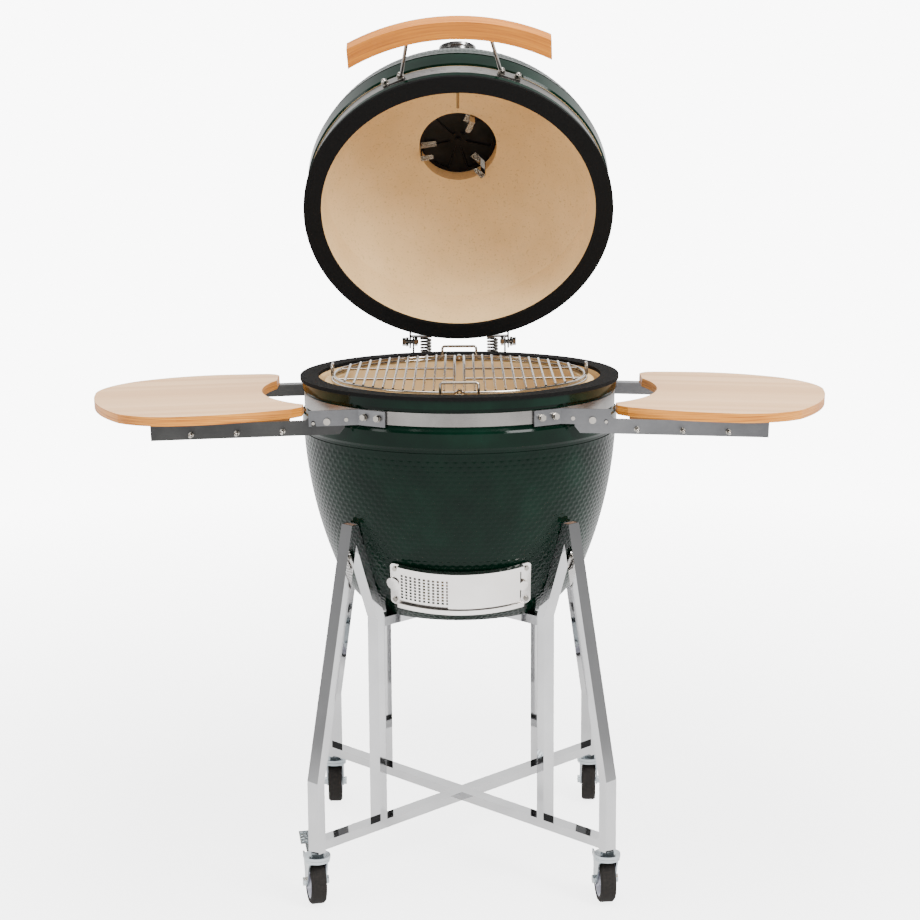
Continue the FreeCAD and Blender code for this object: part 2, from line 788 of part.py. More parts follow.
def make_vent():
    """The cast iron vent: a cup hung in the chimney, its turning wheel and its clips."""
    floor, plate = N["vent_floor"], N["vent_plate"]
    sleeve = N["chimney_inner"] - 0.8
    top = N["chimney_top"] + 0.2
    cup = new_body("vent_cap")
    outline = [
        (3.2, floor),
        (sleeve, floor),
        (sleeve, S["chimney_top"] + 0.2),
        (S["vent_outer"], S["chimney_top"] + 0.2),
        (S["vent_outer"], S["chimney_top"] + 6),
        (S["vent_outer"] - 8, S["chimney_top"] + 26),
        (S["vent_outer"] - 12, S["chimney_top"] + 26),
        (sleeve - 3, S["chimney_top"] + 4),
        (sleeve - 3, S["vent_floor"] + S["vent_plate"]),
        (3.2, S["vent_floor"] + S["vent_plate"]),
    ]
    revolve(cup, "XZ_Plane", [outline])
    window = [(14, -3.5), (60, -14.5, 62), (60, 14.5), (14, 3.5)]
    opening = pocket(cup, "XY_Plane", [window], 280, forward=True)
    pattern = cup.newObject("PartDesign::PolarPattern", "petals")
    pattern.Originals = [opening]
    pattern.Axis = (opening.Profile[0], ["N_Axis"])
    pattern.Angle = 360
    pattern.Occurrences = 6
    cup.Tip = pattern
    cup.Placement = LID
    low = floor + plate + 0.4
    disc = Part.makeCylinder(sleeve - 4, plate, Vector(0, 0, low))
    disc = disc.cut(petals(14, 60, low - 1, low + plate + 1, 30))
    stem = Part.makeCylinder(5, top + 14 - low, Vector(0, 0, low))
    knob = Part.makeCylinder(15, 10, Vector(0, 0, top + 14))
    pivot = Part.makeCylinder(3.1, 7, Vector(0, 0, floor - 3))
    nut = hexagon(10, 3, Vector(0, 0, floor - 4), Z_AXIS)
    wheel = fused([disc, stem, knob, pivot, nut])
    solid_part("vent_wheel", [wheel], LID)


def make_vent_clips():
    """Three spring clips that hold the vent in the chimney, seen from inside the lid."""
    clips = []
    radius = N["chimney_inner"]
    floor = N["vent_floor"]
    low, wall = floor - 46, radius - 2.6
    for angle in (48, 170, 292):
        plate = Part.makeBox(wall - 38.8, 12, 1.4, Vector(40, -6, floor - 1.6))
        leg = Part.makeBox(1.2, 10, 46, Vector(wall, -5, low))
        foot = Part.makeBox(wall - 48, 10, 1.2, Vector(49, -5, low))
        end = Part.makeCylinder(5, 1.2, Vector(49, 0, low))
        rivets = [Part.makeCylinder(2.1, 1.6, Vector(x, 0, floor - 2.6)) for x in (44, 52)]
        clip = fused([plate, leg, foot, end, *rivets])
        clip.rotate(Vector(), Z_AXIS, angle)
        clips.append(clip)
    solid_part("vent_clips", clips, LID)


# ---------------------------------------------------------------- rear hinge

def make_lid_bracket():
    """The lid's half of the hinge: a strap on the band, two ears and two spring tabs."""
    outer = N["seat_radius"] + N["band_thick"]
    low, high = N["lid_seat"], N["lid_seat_top"]
    rise = N["hinge_z"] - N["ring_z"]
    strap = ring_strap(outer + 0.05, outer + 2.6, low + 1, high - 1, 42)
    pieces = [strap]
    for side in SIDES.values():
        x = side * N["lid_ear_x"] - N["ear_thick"] / 2
        y = math.sqrt((outer + 1.5) ** 2 - N["lid_ear_x"] ** 2)
        corners = [(y - 1, low + 2), (y - 1, high - 2), (N["hinge_y"] - 2, high - 6),
                   (N["hinge_y"] + 12, rise + 8), (N["hinge_y"] + 8, rise - 9),
                   (N["hinge_y"] - 8, rise - 9), (N["hinge_y"] - 13, low + 2)]
        ear = plate_in_yz(corners, x, N["ear_thick"])
        tab_x = side * (N["lid_ear_x"] + N["spring_x"] - N["spring_radius"]) / 2
        width = N["lid_ear_x"] - N["spring_x"] + N["spring_radius"]
        tab = Part.makeBox(width, 3, 18, Vector(tab_x - width / 2, N["hinge_y"] + 1.2, rise + 11.2))
        tab.rotate(Vector(0, N["hinge_y"] + 2.7, rise + 20.2), X_AXIS, N["lid_angle"] - 90)
        pieces += [ear, tab]
    pins = [Part.makeCylinder(N["pin_radius"] + N["pin_fit"], 30,
                              Vector(side * N["lid_ear_x"] - 15, N["hinge_y"], rise), X_AXIS)
            for side in SIDES.values()]
    bracket = fused(pieces).cut(Part.makeCompound(pins))
    solid_part("lid_hinge_bracket", [bracket.Solids[0]], LID)


def ring_strap(inner, outer, low, high, sweep):
    """A strap bent round a vertical axis, centred on the rear."""
    height = high - low
    base = Vector(0, 0, low)
    strap = Part.makeCylinder(outer, height, base, Z_AXIS, sweep)
    strap = strap.cut(Part.makeCylinder(inner, height, base, Z_AXIS, sweep))
    strap.rotate(Vector(), Z_AXIS, 90 - sweep / 2)
    return strap


def plate_in_yz(corners, x, thickness):
    """A flat plate with corners given as (Y, Z), from this X on."""
    points = [Vector(x, y, z) for y, z in corners + corners[:1]]
    return Part.Face(Part.makePolygon(points)).extrude(Vector(thickness, 0, 0))


def make_bowl_bracket():
    """The bowl's half of the hinge: a strap on the band, two ears and two spring hooks."""
    outer = N["seat_radius"] + N["band_thick"]
    low, high = N["seat_z"], N["seat_top_z"]
    strap = ring_strap(outer + 0.05, outer + 2.6, low + 1, high - 1, 42)
    pieces = [strap]
    for side in SIDES.values():
        x = side * N["bowl_ear_x"] - N["ear_thick"] / 2
        y = math.sqrt((outer + 1.5) ** 2 - N["bowl_ear_x"] ** 2)
        corners = [(y - 1, low + 2), (N["hinge_y"], low - 6), (N["hinge_y"] + 14, low + 2),
                   (N["hinge_y"] + 8, N["hinge_z"] - 10), (N["hinge_y"] + 5, N["hinge_z"]),
                   (N["hinge_y"] - 9.8, N["hinge_z"]), (y + 8, high), (y - 1, high - 2)]
        eye = Part.makeCylinder(9.8, N["ear_thick"], Vector(x, N["hinge_y"], N["hinge_z"]), X_AXIS)
        ear = plate_in_yz(corners, x, N["ear_thick"]).fuse(eye)
        width = N["bowl_ear_x"] - N["spring_x"] + N["spring_radius"] + 2
        left = min(side * N["bowl_ear_x"], side * (N["bowl_ear_x"] - width))
        shelf = Part.makeBox(width, 30, 3, Vector(left, N["hinge_y"] - 1, N["spring_low_z"] - 8))
        pieces += [ear, shelf]
    pins = [Part.makeCylinder(N["pin_radius"] + N["pin_fit"], 30,
                              Vector(side * N["bowl_ear_x"] - 15, N["hinge_y"], N["hinge_z"]), X_AXIS)
            for side in SIDES.values()]
    bracket = fused(pieces).cut(Part.makeCompound(pins))
    solid_part("lower_hinge_bracket", [bracket.Solids[0]], BOWL)


def make_hinge_pins():
    """The two hinge bolts, each with a head outside and a nut inside."""
    pins = []
    for side in SIDES.values():
        inner = Vector(side * (N["bowl_ear_x"] - 9), N["hinge_y"], N["hinge_z"])
        outer = Vector(side * (N["lid_ear_x"] + 14), N["hinge_y"], N["hinge_z"])
        away = Vector(side, 0, 0)
        bolt = rod(inner, outer, N["pin_radius"])
        nut = hexagon(13, 5.5, Vector(side * (N["bowl_ear_x"] - 7.5), N["hinge_y"], N["hinge_z"]), away)
        head = hexagon(13, 6, Vector(side * (N["lid_ear_x"] + 8), N["hinge_y"], N["hinge_z"]), away)
        collar = Part.makeCylinder(8.5, 5, Vector(side * (N["lid_ear_x"] + 2.6), N["hinge_y"],
                                                   N["hinge_z"]), away)
        pins.append(fused([bolt, nut, head, collar]))
    solid_part("hinge_pins", pins, BOWL)


def make_springs():
    """The two lift springs, as the sleeves that their coils fill."""
    springs = []
    for side in SIDES.values():
        base = Vector(side * N["spring_x"], N["spring_y"], N["spring_low_z"])
        height = N["spring_high_z"] - N["spring_low_z"]
        sleeve = Part.makeCylinder(N["spring_radius"], height, base)
        springs.append(sleeve.cut(Part.makeCylinder(N["spring_radius"] - 3, height, base)))
    solid_part("hinge_springs", springs, BOWL)


# ---------------------------------------------------------------- stand

def leg_outline(inset):
    """A bent leg in its diagonal plane, thinner all round by the inset."""
    half = S["tube_thin"] / 2 - inset
    lean = (S["foot_reach"] - S["leg_top_reach"]) / (S["leg_top_z"] - S["kink_z"])
    spread = half * 1.0203
    overrun = 0 if inset == 0 else 5
    outer = [
        (S["foot_reach"] + half, S["foot_z"] - overrun),
        (S["foot_reach"] + half, S["kink_z"] + half * 0.1),
        (S["leg_top_reach"] + spread - lean * overrun, S["leg_top_z"] + overrun),
    ]
    inner = [
        (S["leg_top_reach"] - spread - lean * overrun, S["leg_top_z"] + overrun),
        (S["foot_reach"] - half, S["kink_z"] - half * 0.1),
        (S["foot_reach"] - half, S["foot_z"] - overrun),
    ]
    return outer + inner


def make_legs():
    """The four bent legs, each a hollow tube open at the top."""
    for end_name, end in ENDS.items():
        for side_name, side in SIDES.items():
            leg = new_body(f"stand_leg_{end_name}_{side_name}")
            pad(leg, "XZ_Plane", [leg_outline(0)], S["tube_wide"], both_ways=True)
            hollow = S["tube_wide"] - 2 * S["tube_wall"]
            pocket(leg, "XZ_Plane", [leg_outline(N["tube_wall"])], hollow, both_ways=True)
            leg.Placement = diagonal(side, end)


def hollow_box(length, start, high):
    """A level tube along X, given its top."""
    wide, thin, wall = N["tube_wide"], N["tube_thin"], N["tube_wall"]
    outer = Part.makeBox(length, wide, thin, Vector(start, -wide / 2, high - thin))
    inner = Part.makeBox(length + 2, wide - 2 * wall, thin - 2 * wall,
                         Vector(start - 1, -wide / 2 + wall, high - thin + wall))
    return outer.cut(inner)


def at_corner(shape, side, end):
    """A copy of a shape turned from +X to one of the stand's diagonals."""
    copy = shape.copy()
    copy.rotate(Vector(), Z_AXIS, math.degrees(math.atan2(end, side)))
    return copy


def corners():
    """The four corners as pairs of signs."""
    return [(side, end) for end in ENDS.values() for side in SIDES.values()]


def cross_tubes(reach, high):
    """Two tubes that cross: one whole and one in two halves that meet it."""
    half = N["tube_wide"] / 2
    tubes = [at_corner(hollow_box(2 * reach, -reach, high), 1, -1)]
    for side, end in ((1, 1), (-1, -1)):
        tubes.append(at_corner(hollow_box(reach - half, half, high), side, end))
    return tubes


def cradle_arm():
    """The tube between a post and its leg, mitred on the leg, in the plane of +X."""
    half = N["tube_thin"] / 2
    lean = N["arm_lean"]
    spread = half * math.hypot(1, lean)
    leg_lean = (N["foot_reach"] - N["leg_top_reach"]) / (N["leg_top_z"] - N["kink_z"])
    leg_face = N["leg_top_reach"] - half * math.hypot(1, leg_lean)
    base = N["base_z"]

    def meeting(offset):
        rise = leg_face + leg_lean * N["leg_top_z"] - (offset - lean * base)
        height = rise / (lean + leg_lean)
        return offset + lean * (height - base), height

    low_in, low_out = N["post_reach"] - spread, N["post_reach"] + spread
    corners_2d = [(low_in, base), (low_out, base), meeting(low_out), meeting(low_in)]
    points = [Vector(x, -N["tube_wide"] / 2, z) for x, z in corners_2d + corners_2d[:1]]
    return Part.Face(Part.makePolygon(points)).extrude(Vector(0, N["tube_wide"], 0))


def make_stand_tubes():
    """Cradle arms, posts and the two crosses, each a group of separate tubes."""
    arm = cradle_arm()
    solid_part("cradle_arms", [at_corner(arm, *corner) for corner in corners()], BOWL)
    wide, thin, wall = N["tube_wide"], N["tube_thin"], N["tube_wall"]
    tall = N["base_z"] - N["cross_top_z"]
    post = Part.makeBox(thin, wide, tall,
                        Vector(N["post_reach"] - thin / 2, -wide / 2, N["cross_top_z"]))
    hollow = Part.makeBox(thin - 2 * wall, wide - 2 * wall, tall,
                          Vector(N["post_reach"] - thin / 2 + wall, -wide / 2 + wall, N["cross_top_z"]))
    post = post.cut(hollow)
    solid_part("stand_posts", [at_corner(post, *corner) for corner in corners()], BOWL)
    solid_part("base_cross", cross_tubes(N["foot_reach"] - thin / 2, N["cross_top_z"]), BOWL)
    solid_part("cradle_cross", cross_tubes(N["post_reach"] - thin / 2, N["base_z"]), BOWL)
    plug = Part.makeBox(thin - 2 * wall - 0.2, wide - 2 * wall - 0.2, 6,
                        Vector(N["leg_top_reach"] - thin / 2 + wall + 0.7,
                               -wide / 2 + wall + 0.1, N["leg_top_z"] - 6.5))
    solid_part("leg_caps", [at_corner(plug, *corner) for corner in corners()], BOWL)


# ---------------------------------------------------------------- casters

def caster_frame(side, end):
    """The frame of one caster at rest: its wheel trails along the frame's +Y."""
    turns = {(-1, -1): 14, (1, -1): 7, (-1, 1): 2, (1, 1): -5}
    corner = N["foot_reach"] / math.sqrt(2)
    base = BOWL.Base + Vector(side * corner, end * corner, 0)
    return Placement(base, Rotation(Z_AXIS, turns[(side, end)]))


def make_fork(label, frame):
    """The caster's fork with its axle bolt as a second solid."""
    gap, plate = N["fork_gap"] / 2, N["fork_plate"]
    race_z, trail = N["race_z"], N["trail"]
    disc = Part.makeCylinder(N["race_radius"] - 1, 4.2, Vector(0, 0, race_z - 4.7))
    bridge = Part.makeBox(2 * (gap + plate), 40, plate,
                          Vector(-gap - plate, -12, race_z - 4.5 - plate))
    cheeks = []
    for sign in SIDES.values():
        x = gap if sign > 0 else -gap - plate
        profile = [(-12, race_z - 4.6), (47, race_z - 4.6), (47, N["pedal_z"] - 5),
                   (38, N["pedal_z"] - 6), (trail + 9, N["wheel_radius"] - 2),
                   (trail + 4, N["wheel_radius"] - 8), (trail - 4, N["wheel_radius"] - 8),
                   (trail - 9, N["wheel_radius"] - 2)]
        cheeks.append(plate_in_yz(profile, x, plate))
    bore = Part.makeCylinder(N["stem_radius"] + 0.1, 30, Vector(0, 0, race_z - 20))
    axle_hole = Part.makeCylinder(N["axle_radius"], 80, Vector(-40, trail, N["wheel_radius"]), X_AXIS)
    pedal_hole = Part.makeCylinder(1.65, 80, Vector(-40, N["pedal_y"], N["pedal_z"]), X_AXIS)
    fork = fused([disc, bridge] + cheeks).cut(bore).cut(axle_hole).cut(pedal_hole)
    half = gap + plate
    axle = rod(Vector(-half - 1, trail, N["wheel_radius"]),
               Vector(half + 1, trail, N["wheel_radius"]), N["axle_radius"])
    head = hexagon(13, 5, Vector(half, trail, N["wheel_radius"]), X_AXIS)
    nut = hexagon(13, 5, Vector(-half, trail, N["wheel_radius"]), Vector(-1, 0, 0))
    solid_part(label, [fork.Solids[0], fused([axle, head, nut])], frame)


def make_wheel(corner_name, frame):
    """A caster's hub and the tyre round it, turned about the axle."""
    centre = Placement(Vector(0, N["trail"], N["wheel_radius"]), Rotation(Z_AXIS, X_AXIS))
    hub = new_body(f"caster_hub_{corner_name}")
    rim = S["wheel_radius"] - S["tread"]
    half = S["wheel_wide"] / 2
    bore = S["axle_radius"] + 0.1
    section = [(bore, -1 * half), (bore + 7, -1 * half), (bore + 9, -5), (rim - 6, -5),
               (rim - 4, 1 - half), (rim, 1 - half), (rim, half - 1), (rim - 4, half - 1),
               (rim - 6, 5), (bore + 9, 5), (bore + 7, half), (bore, half)]
    revolve(hub, "XZ_Plane", [section])
    hub.Placement = frame.multiply(centre)
    tyre = new_body(f"caster_tyre_{corner_name}")
    tread = [(rim, -1 * half), (S["wheel_radius"] - 3, -1 * half), (S["wheel_radius"], 3 - half),
             (S["wheel_radius"], half - 3), (S["wheel_radius"] - 3, half), (rim, half)]
    revolve(tyre, "XZ_Plane", [tread])
    tyre.Placement = frame.multiply(centre)


def make_pedal(label, frame):
    """The brake pedal behind a caster's wheel, on trunnions in the fork's two ears."""
    gap, y, z = N["fork_gap"] / 2, N["pedal_y"], N["pedal_z"]
    sleeve = Part.makeCylinder(3.5, 2 * gap - 0.8, Vector(0.4 - gap, y, z), X_AXIS)
    trunnions = Part.makeCylinder(1.6, 2 * gap + 4, Vector(-gap - 2, y, z), X_AXIS)
    arm = plate_in_yz([(y, z), (y + 1, z - 2.2), (y + 34, z + 15), (y + 33, z + 17.2)], -9, 18)
    tread = plate_in_yz([(y + 22, z + 11.5), (y + 23, z + 9.3), (y + 44, z + 22), (y + 43, z + 24.2)],
                        -16, 32)
    ribs = []
    for step in range(4):
        base = Vector(-15, y + 24.5 + 5 * step, z + 13 + 3 * step)
        ribs.append(Part.makeCylinder(1.2, 30, base, X_AXIS))
    solid_part(label, [fused([sleeve, trunnions, arm, tread] + ribs)], frame)


def make_casters():
    """Four swivel casters; two of them, on one diagonal, have a brake."""
    stems = []
    for end_name, end in ENDS.items():
        for side_name, side in SIDES.items():
            corner_name = f"{end_name}_{side_name}"
            frame = caster_frame(side, end)
            make_fork(f"caster_fork_{corner_name}", frame)
            make_wheel(corner_name, frame)
            race = Part.makeCylinder(N["race_radius"], 5, Vector(0, 0, N["race_z"] + 0.3))
            nut = hexagon(19, N["foot_z"] - N["race_z"] - 5.3, Vector(0, 0, N["race_z"] + 5.3), Z_AXIS)
            stem = Part.makeCylinder(N["stem_radius"], 38, Vector(0, 0, N["race_z"] - 8))
            group = fused([race, nut, stem])
            group.Placement = Placement(frame.Base, Rotation(Z_AXIS, 45))
            stems.append(group)
    solid_part("caster_stems", stems)
    make_pedal("brake_pedal_front_left", caster_frame(-1, -1))
    make_pedal("brake_pedal_rear_right", caster_frame(1, 1))


# ---------------------------------------------------------------- shelves

def board_outline():
    """The right-hand shelf board from above, from its front inner tip round the outside."""
    return [
        (250, -137), (251, -165), (266, -181, 420), (424, -216, 143), (544, -165, 465),
        (618, 50, 147), (564, 190, 236), (424, 230, 900), (349, 221, 34), (318, 178),
        (317, 136, -247.4),
    ]


def rail_outline():
    """The web of the right-hand front rail, raised round its pivot."""
    top = S["board_top_z"] - S["board_thick"]
    low, pivot_x, end = S["rail_low_z"], S["pivot_x"], S["rail_end_x"]
    return [
        (pivot_x - 18.5, low), (end, low), (end, top), (pivot_x + 34, top),
        (pivot_x + 26, top + 7.5), (pivot_x - 27.5, top + 7.5), (pivot_x - 27.5, low + 10.5),
    ]


def make_shelf(side_name, side):
    """One bamboo board on its two rails, with the tool pegs on the rails."""
    frame = shelf_frame(side)
    board = new_body(f"shelf_board_{side_name}")
    outline = board_outline() if side > 0 else flipped(board_outline())
    bottom = S["board_top_z"] - S["board_thick"]
    pad(board, "XY_Plane", [outline], S["board_thick"], offset=bottom)
    board.Placement = frame
    rails, pegs = [], []
    for end in ENDS.values():
        rails.append(make_rail(side, end))
        pegs += make_pegs(side, end)
    solid_part(f"shelf_rails_{side_name}", rails, frame)
    solid_part(f"tool_pegs_{side_name}", pegs, frame)


def make_rail(side, end):
    """One angle rail: a web that turns on the pivot bolt and a flange under the board."""
    web_y = N["rail_y"]
    thick = N["rail_thick"]
    points = [Vector(side * number(x), end * web_y, number(z)) for x, z in rail_outline()]
    web = Part.Face(Part.makePolygon(points + points[:1])).extrude(Vector(0, end * thick, 0))
    top = N["board_top_z"] - N["board_thick"]
    start, stop = sorted((side * (N["pivot_x"] + 60), side * N["rail_end_x"]))
    near, far = sorted((end * (web_y + thick), end * (web_y + thick - N["rail_flange"])))
    flange = Part.makeBox(stop - start, far - near, thick, Vector(start, near, top - thick))
    rail = fused([web, flange])
    bolt_hole = Part.makeCylinder(3.05, 20, Vector(side * N["pivot_x"], end * web_y - 10, N["pivot_z"]),
                                  Y_AXIS)
    return rail.cut(bolt_hole).Solids[0]


def make_pegs(side, end):
    """Three tool pegs and the locking pin of one rail."""
    face = N["rail_y"] + N["rail_thick"]
    outward = Vector(0, end, 0)
    pegs = []
    for x in (279, 351, 423):
        base = Vector(side * x, end * (face + 0.05), 782.5)
        shank = Part.makeCylinder(2.5, 13, base, outward)
        collar = Part.makeCylinder(4.2, 1.5, base, outward)
        ball = Part.makeSphere(3.2, base + outward * 13.5)
        pegs.append(fused([shank, collar, ball]))
    lock = Vector(side * (N["pivot_x"] + N["lock_reach"]), end * (face + 0.05), N["pivot_z"] - 2)
    pegs.append(Part.makeCylinder(2.5, 6.5, lock, outward))
    return pegs


def arm_shape():
    """The front right arm: a foot on the bowl's band and a bent plate that carries the rail."""
    band = N["seat_radius"] + N["band_thick"]
    low, high = N["arm_low_z"], N["arm_high_z"]
    thick, arm_y = N["arm_thick"], N["arm_y"]
    bend, tip = N["arm_bend_x"], N["arm_end_x"]
    tall = high - low
    foot = Part.makeBox(50, thick, tall, Vector(-25, -band - thick - 0.05, low))
    foot.rotate(Vector(), Z_AXIS, math.degrees(math.asin(N["arm_foot_x"] / band)))
    plate = Part.makeBox(tip - bend, thick, tall, Vector(bend, -arm_y - thick, low))
    plate.rotate(Vector(bend, 0, low), Y_AXIS, N["shelf_droop"])
    plate = plate.cut(Part.makeCylinder(band + 0.05, tall + 10, Vector(0, 0, low - 5)))
    arm = fused([foot, plate])
    return arm.cut(lock_slot(-arm_y)).cut(pivot_hole(-arm_y))


def pivot_hole(face_y):
    """The hole for the shelf's pivot bolt, through a plate near this Y."""
    return Part.makeCylinder(3.05, 20, Vector(N["pivot_x"], face_y - 10, N["pivot_z"]), Y_AXIS)


def lock_slot(face_y):
    """The hooked slot that the rail's locking pin swings out of, open at the arm's lower edge."""
    pivot = Vector(N["pivot_x"], face_y - 10, N["pivot_z"])
    reach = N["lock_reach"]
    ring = Part.makeCylinder(reach + 3.3, 20, pivot, Y_AXIS)
    ring = ring.cut(Part.makeCylinder(reach - 3.3, 20, pivot, Y_AXIS))
    below = Part.makeBox(60, 30, 60, pivot + Vector(0, -5, -62))
    pin = Part.makeCylinder(3.3, 20, pivot + Vector(reach, 0, -2), Y_AXIS)
    return ring.common(below).fuse(pin)


def make_arms():
    """The four shelf arms."""
    arm = arm_shape()
    shapes = []
    for end in ENDS.values():
        for side in SIDES.values():
            shapes.append(mirrored_copy(arm, side, end))
    solid_part("shelf_arms", shapes, BOWL)


def mirrored_copy(shape, side, end):
    """A shape built for the front right, moved to another corner by mirroring."""
    copy = shape
    if side < 0:
        copy = copy.mirror(Vector(), X_AXIS)
    if end > 0:
        copy = copy.mirror(Vector(), Y_AXIS)
    return copy


# ---------------------------------------------------------------- fasteners

def make_bowl_fasteners():
    """Bolts on the bowl: arm feet, arm pivots, hinge strap and the draft frame's screws."""
    band = N["seat_radius"] + N["band_thick"]
    mid_z = (N["arm_low_z"] + N["arm_high_z"]) / 2 + 1
    bolts = []
    for end in ENDS.values():
        for side in SIDES.values():
            for x in (N["arm_foot_x"] - 10, N["arm_foot_x"] + 11):
                angle = math.asin(x / band)
                out = Vector(side * math.sin(angle), end * math.cos(angle), 0)
                seat = out * (band + N["arm_thick"] + 0.9) + Vector(0, 0, mid_z)
                bolts.append(washer_bolt(seat, out, across=9, head=5, reach=2))
            pivot = Vector(side * N["pivot_x"], end * (N["arm_y"] + N["arm_thick"] + 0.1),
                           N["pivot_z"])
            bolts.append(pivot_bolt(pivot, end))
            rivet = Vector(side * 178, end * (N["arm_y"] + N["arm_thick"] + 0.05), N["pivot_z"] + 3)
            bolts.append(Part.makeCylinder(3.2, 1.6, rivet, Vector(0, end, 0)))
    for angle in (-14, -5, 5, 14):
        turn = math.radians(angle)
        out = Vector(math.sin(turn), math.cos(turn), 0)
        seat = out * (band + 2.8) + Vector(0, 0, (N["seat_z"] + N["seat_top_z"]) / 2)
        bolts.append(washer_bolt(seat, out, across=9, head=5, reach=2))
    group = [bolt.copy() for bolt in bolts]
    for bolt in group:
        bolt.Placement = BOWL.multiply(bolt.Placement)
    solid_part("bowl_fasteners", group + draft_screws())


def pivot_bolt(outside, end):
    """The bolt that a rail turns on, with its head outside the arm and a nut inside the rail."""
    out = Vector(0, end, 0)
    inside = Vector(outside.x, end * (N["rail_y"] - 0.3), outside.z)
    bolt = rod(inside - out * 4.5, outside + out * 1, 3)
    head = Part.makeCylinder(5.5, 3.2, outside, out)
    nut = hexagon(9, 3.6, inside - out * 4, out)
    return fused([bolt, head, nut])


def draft_screws():
    """Four button-headed screws at the corners of the draft frame."""
    screws = []
    for side in SIDES.values():
        for level in (-30, 30):
            angle = side * 27.3
            head = Part.makeCylinder(4.2, 2.4, Vector(0, -N["draft_radius"] - 1.95, level),
                                     Vector(0, -1, 0))
            head.rotate(Vector(), Z_AXIS, angle)
            head.Placement = DRAFT.multiply(head.Placement)
            screws.append(head)
    return screws


def make_lid_bolts():
    """Domed nuts on the lid's band: two per handle foot and four on the hinge strap."""
    band = N["seat_radius"] + N["band_thick"]
    height = (N["lid_seat"] + N["lid_seat_top"]) / 2
    bolts = []
    for side in SIDES.values():
        for shift in (-14, 14):
            angle = math.asin(95 / band) + math.radians(shift / band * 57.3)
            out = Vector(side * math.sin(angle), -math.cos(angle), 0)
            bolts.append(acorn_bolt(out * (band + 2.9) + Vector(0, 0, height), out, reach=2))
            bolts[-1].rotate(Vector(), Z_AXIS, N["handle_turn"])
    for angle in (-14, -5, 5, 14):
        turn = math.radians(angle)
        out = Vector(math.sin(turn), math.cos(turn), 0)
        seat = out * (band + 2.8) + Vector(0, 0, height)
        bolts.append(washer_bolt(seat, out, across=9, head=5, reach=2))
    solid_part("lid_bolts", bolts, LID)


# ---------------------------------------------------------------- cooking grate

def ring_wire(radius, height, wire, start=0.0, sweep=360.0):
    """Part of a ring of round wire about the grill's axis."""
    ring = Part.makeTorus(radius, wire, Vector(0, 0, height), Z_AXIS, -180, 180, sweep)
    ring.rotate(Vector(), Z_AXIS, start)
    return ring


def make_grate_frame():
    """The lower ring with its two cross wires, lifting handles and hinge posts."""
    wire, height, radius = N["grate_wire"], N["frame_wire_z"], N["frame_radius"]
    level = N["grate_z"]
    pieces = [ring_wire(radius, height, wire, 17)]
    for y in (-72, 72):
        half = math.sqrt(radius * radius - y * y)
        pieces.append(rod(Vector(-half, y, height), Vector(half, y, height), wire))
    for end in ENDS.values():
        y = end * (radius + 4.6)
        foot, top = height + 0.4, height + N["lift_high"]
        points = [Vector(-30, end * 205, foot), Vector(-30, y, foot), Vector(-30, y, top),
                  Vector(30, y, top), Vector(30, y, foot), Vector(30, end * 205, foot)]
        pieces.append(bent_rod(points, 4.5, wire - 0.2))
        pieces.append(rod(Vector(0, end * 180, level), Vector(0, end * 206, level), 2))
        pieces.append(rod(Vector(0, end * 181, height - 1), Vector(0, end * 181, level), 2))
        pieces.append(rod(Vector(0, end * 181, height), Vector(0, end * radius, height), 2))
    solid_part("grate_frame", [fused(pieces)], BOWL)


def make_grate_half(side_name, side):
    """One folding half of the grate: a D of wire, its bars, its eyelets and its end loop."""
    wire, bar, level = N["grate_wire"], N["grate_rod"], N["grate_z"]
    radius, pitch = N["grate_radius"], N["grate_pitch"]
    first = pitch / 2
    edge = math.degrees(math.asin(first / radius))
    pieces = [ring_wire(radius, level, wire, -90 + edge, 180 - 2 * edge)]
    for step in range(12):
        x = first + pitch * step
        half = math.sqrt(radius * radius - x * x)
        rise = 0 if step == 0 else 2.4
        thickness = wire if step == 0 else bar
        pieces.append(rod(Vector(x, -half, level + rise), Vector(x, half, level + rise), thickness))
    for y in (-58, 58):
        pieces.append(rod(Vector(first, y, level), Vector(math.sqrt(radius ** 2 - y * y), y, level), 2))
    for end in ENDS.values():
        y = end * (202 if side > 0 else 195)
        eyelet = Part.makeCylinder(4.6, 5, Vector(0, y - 2.5, level), Y_AXIS)
        pieces.append(eyelet)
        pieces.append(rod(Vector(3, y, level), Vector(first, y, level), 1.8))
    top = level + N["loop_high"]
    x = radius + 2.5
    loop = [Vector(x, -13, level - 1), Vector(x, -13, top), Vector(x, 13, top), Vector(x, 13, level - 1)]
    pieces.append(bent_rod(loop, 5, bar))
    half = fused(pieces)
    pin_bore = Part.makeCylinder(2.05, 440, Vector(0, -220, level), Y_AXIS)
    half = half.cut(pin_bore)
    if side < 0:
        half = half.mirror(Vector(), X_AXIS)
    solid_part(f"grate_half_{side_name}", half.Solids, BOWL)


# ---------------------------------------------------------------- check and write

def check_document():
    """Stop if any object failed or any sub-part has no valid solid."""
    document.recompute()
    for item in document.Objects:
        if "Invalid" in item.State or "Error" in item.State:
            raise ValueError(f"{item.Label}: {item.State}")
    for part in sub_parts:
        if part.Shape.isNull() or not part.Shape.isValid() or not part.Shape.Solids:
            raise ValueError(f"{part.Label}: no valid solid")


def write_steps():
    """Write each sub-part to a file with its own name."""
    os.makedirs("parts", exist_ok=True)
    for part in sub_parts:
        part.Shape.exportStep(f"parts/{part.Label}.step")


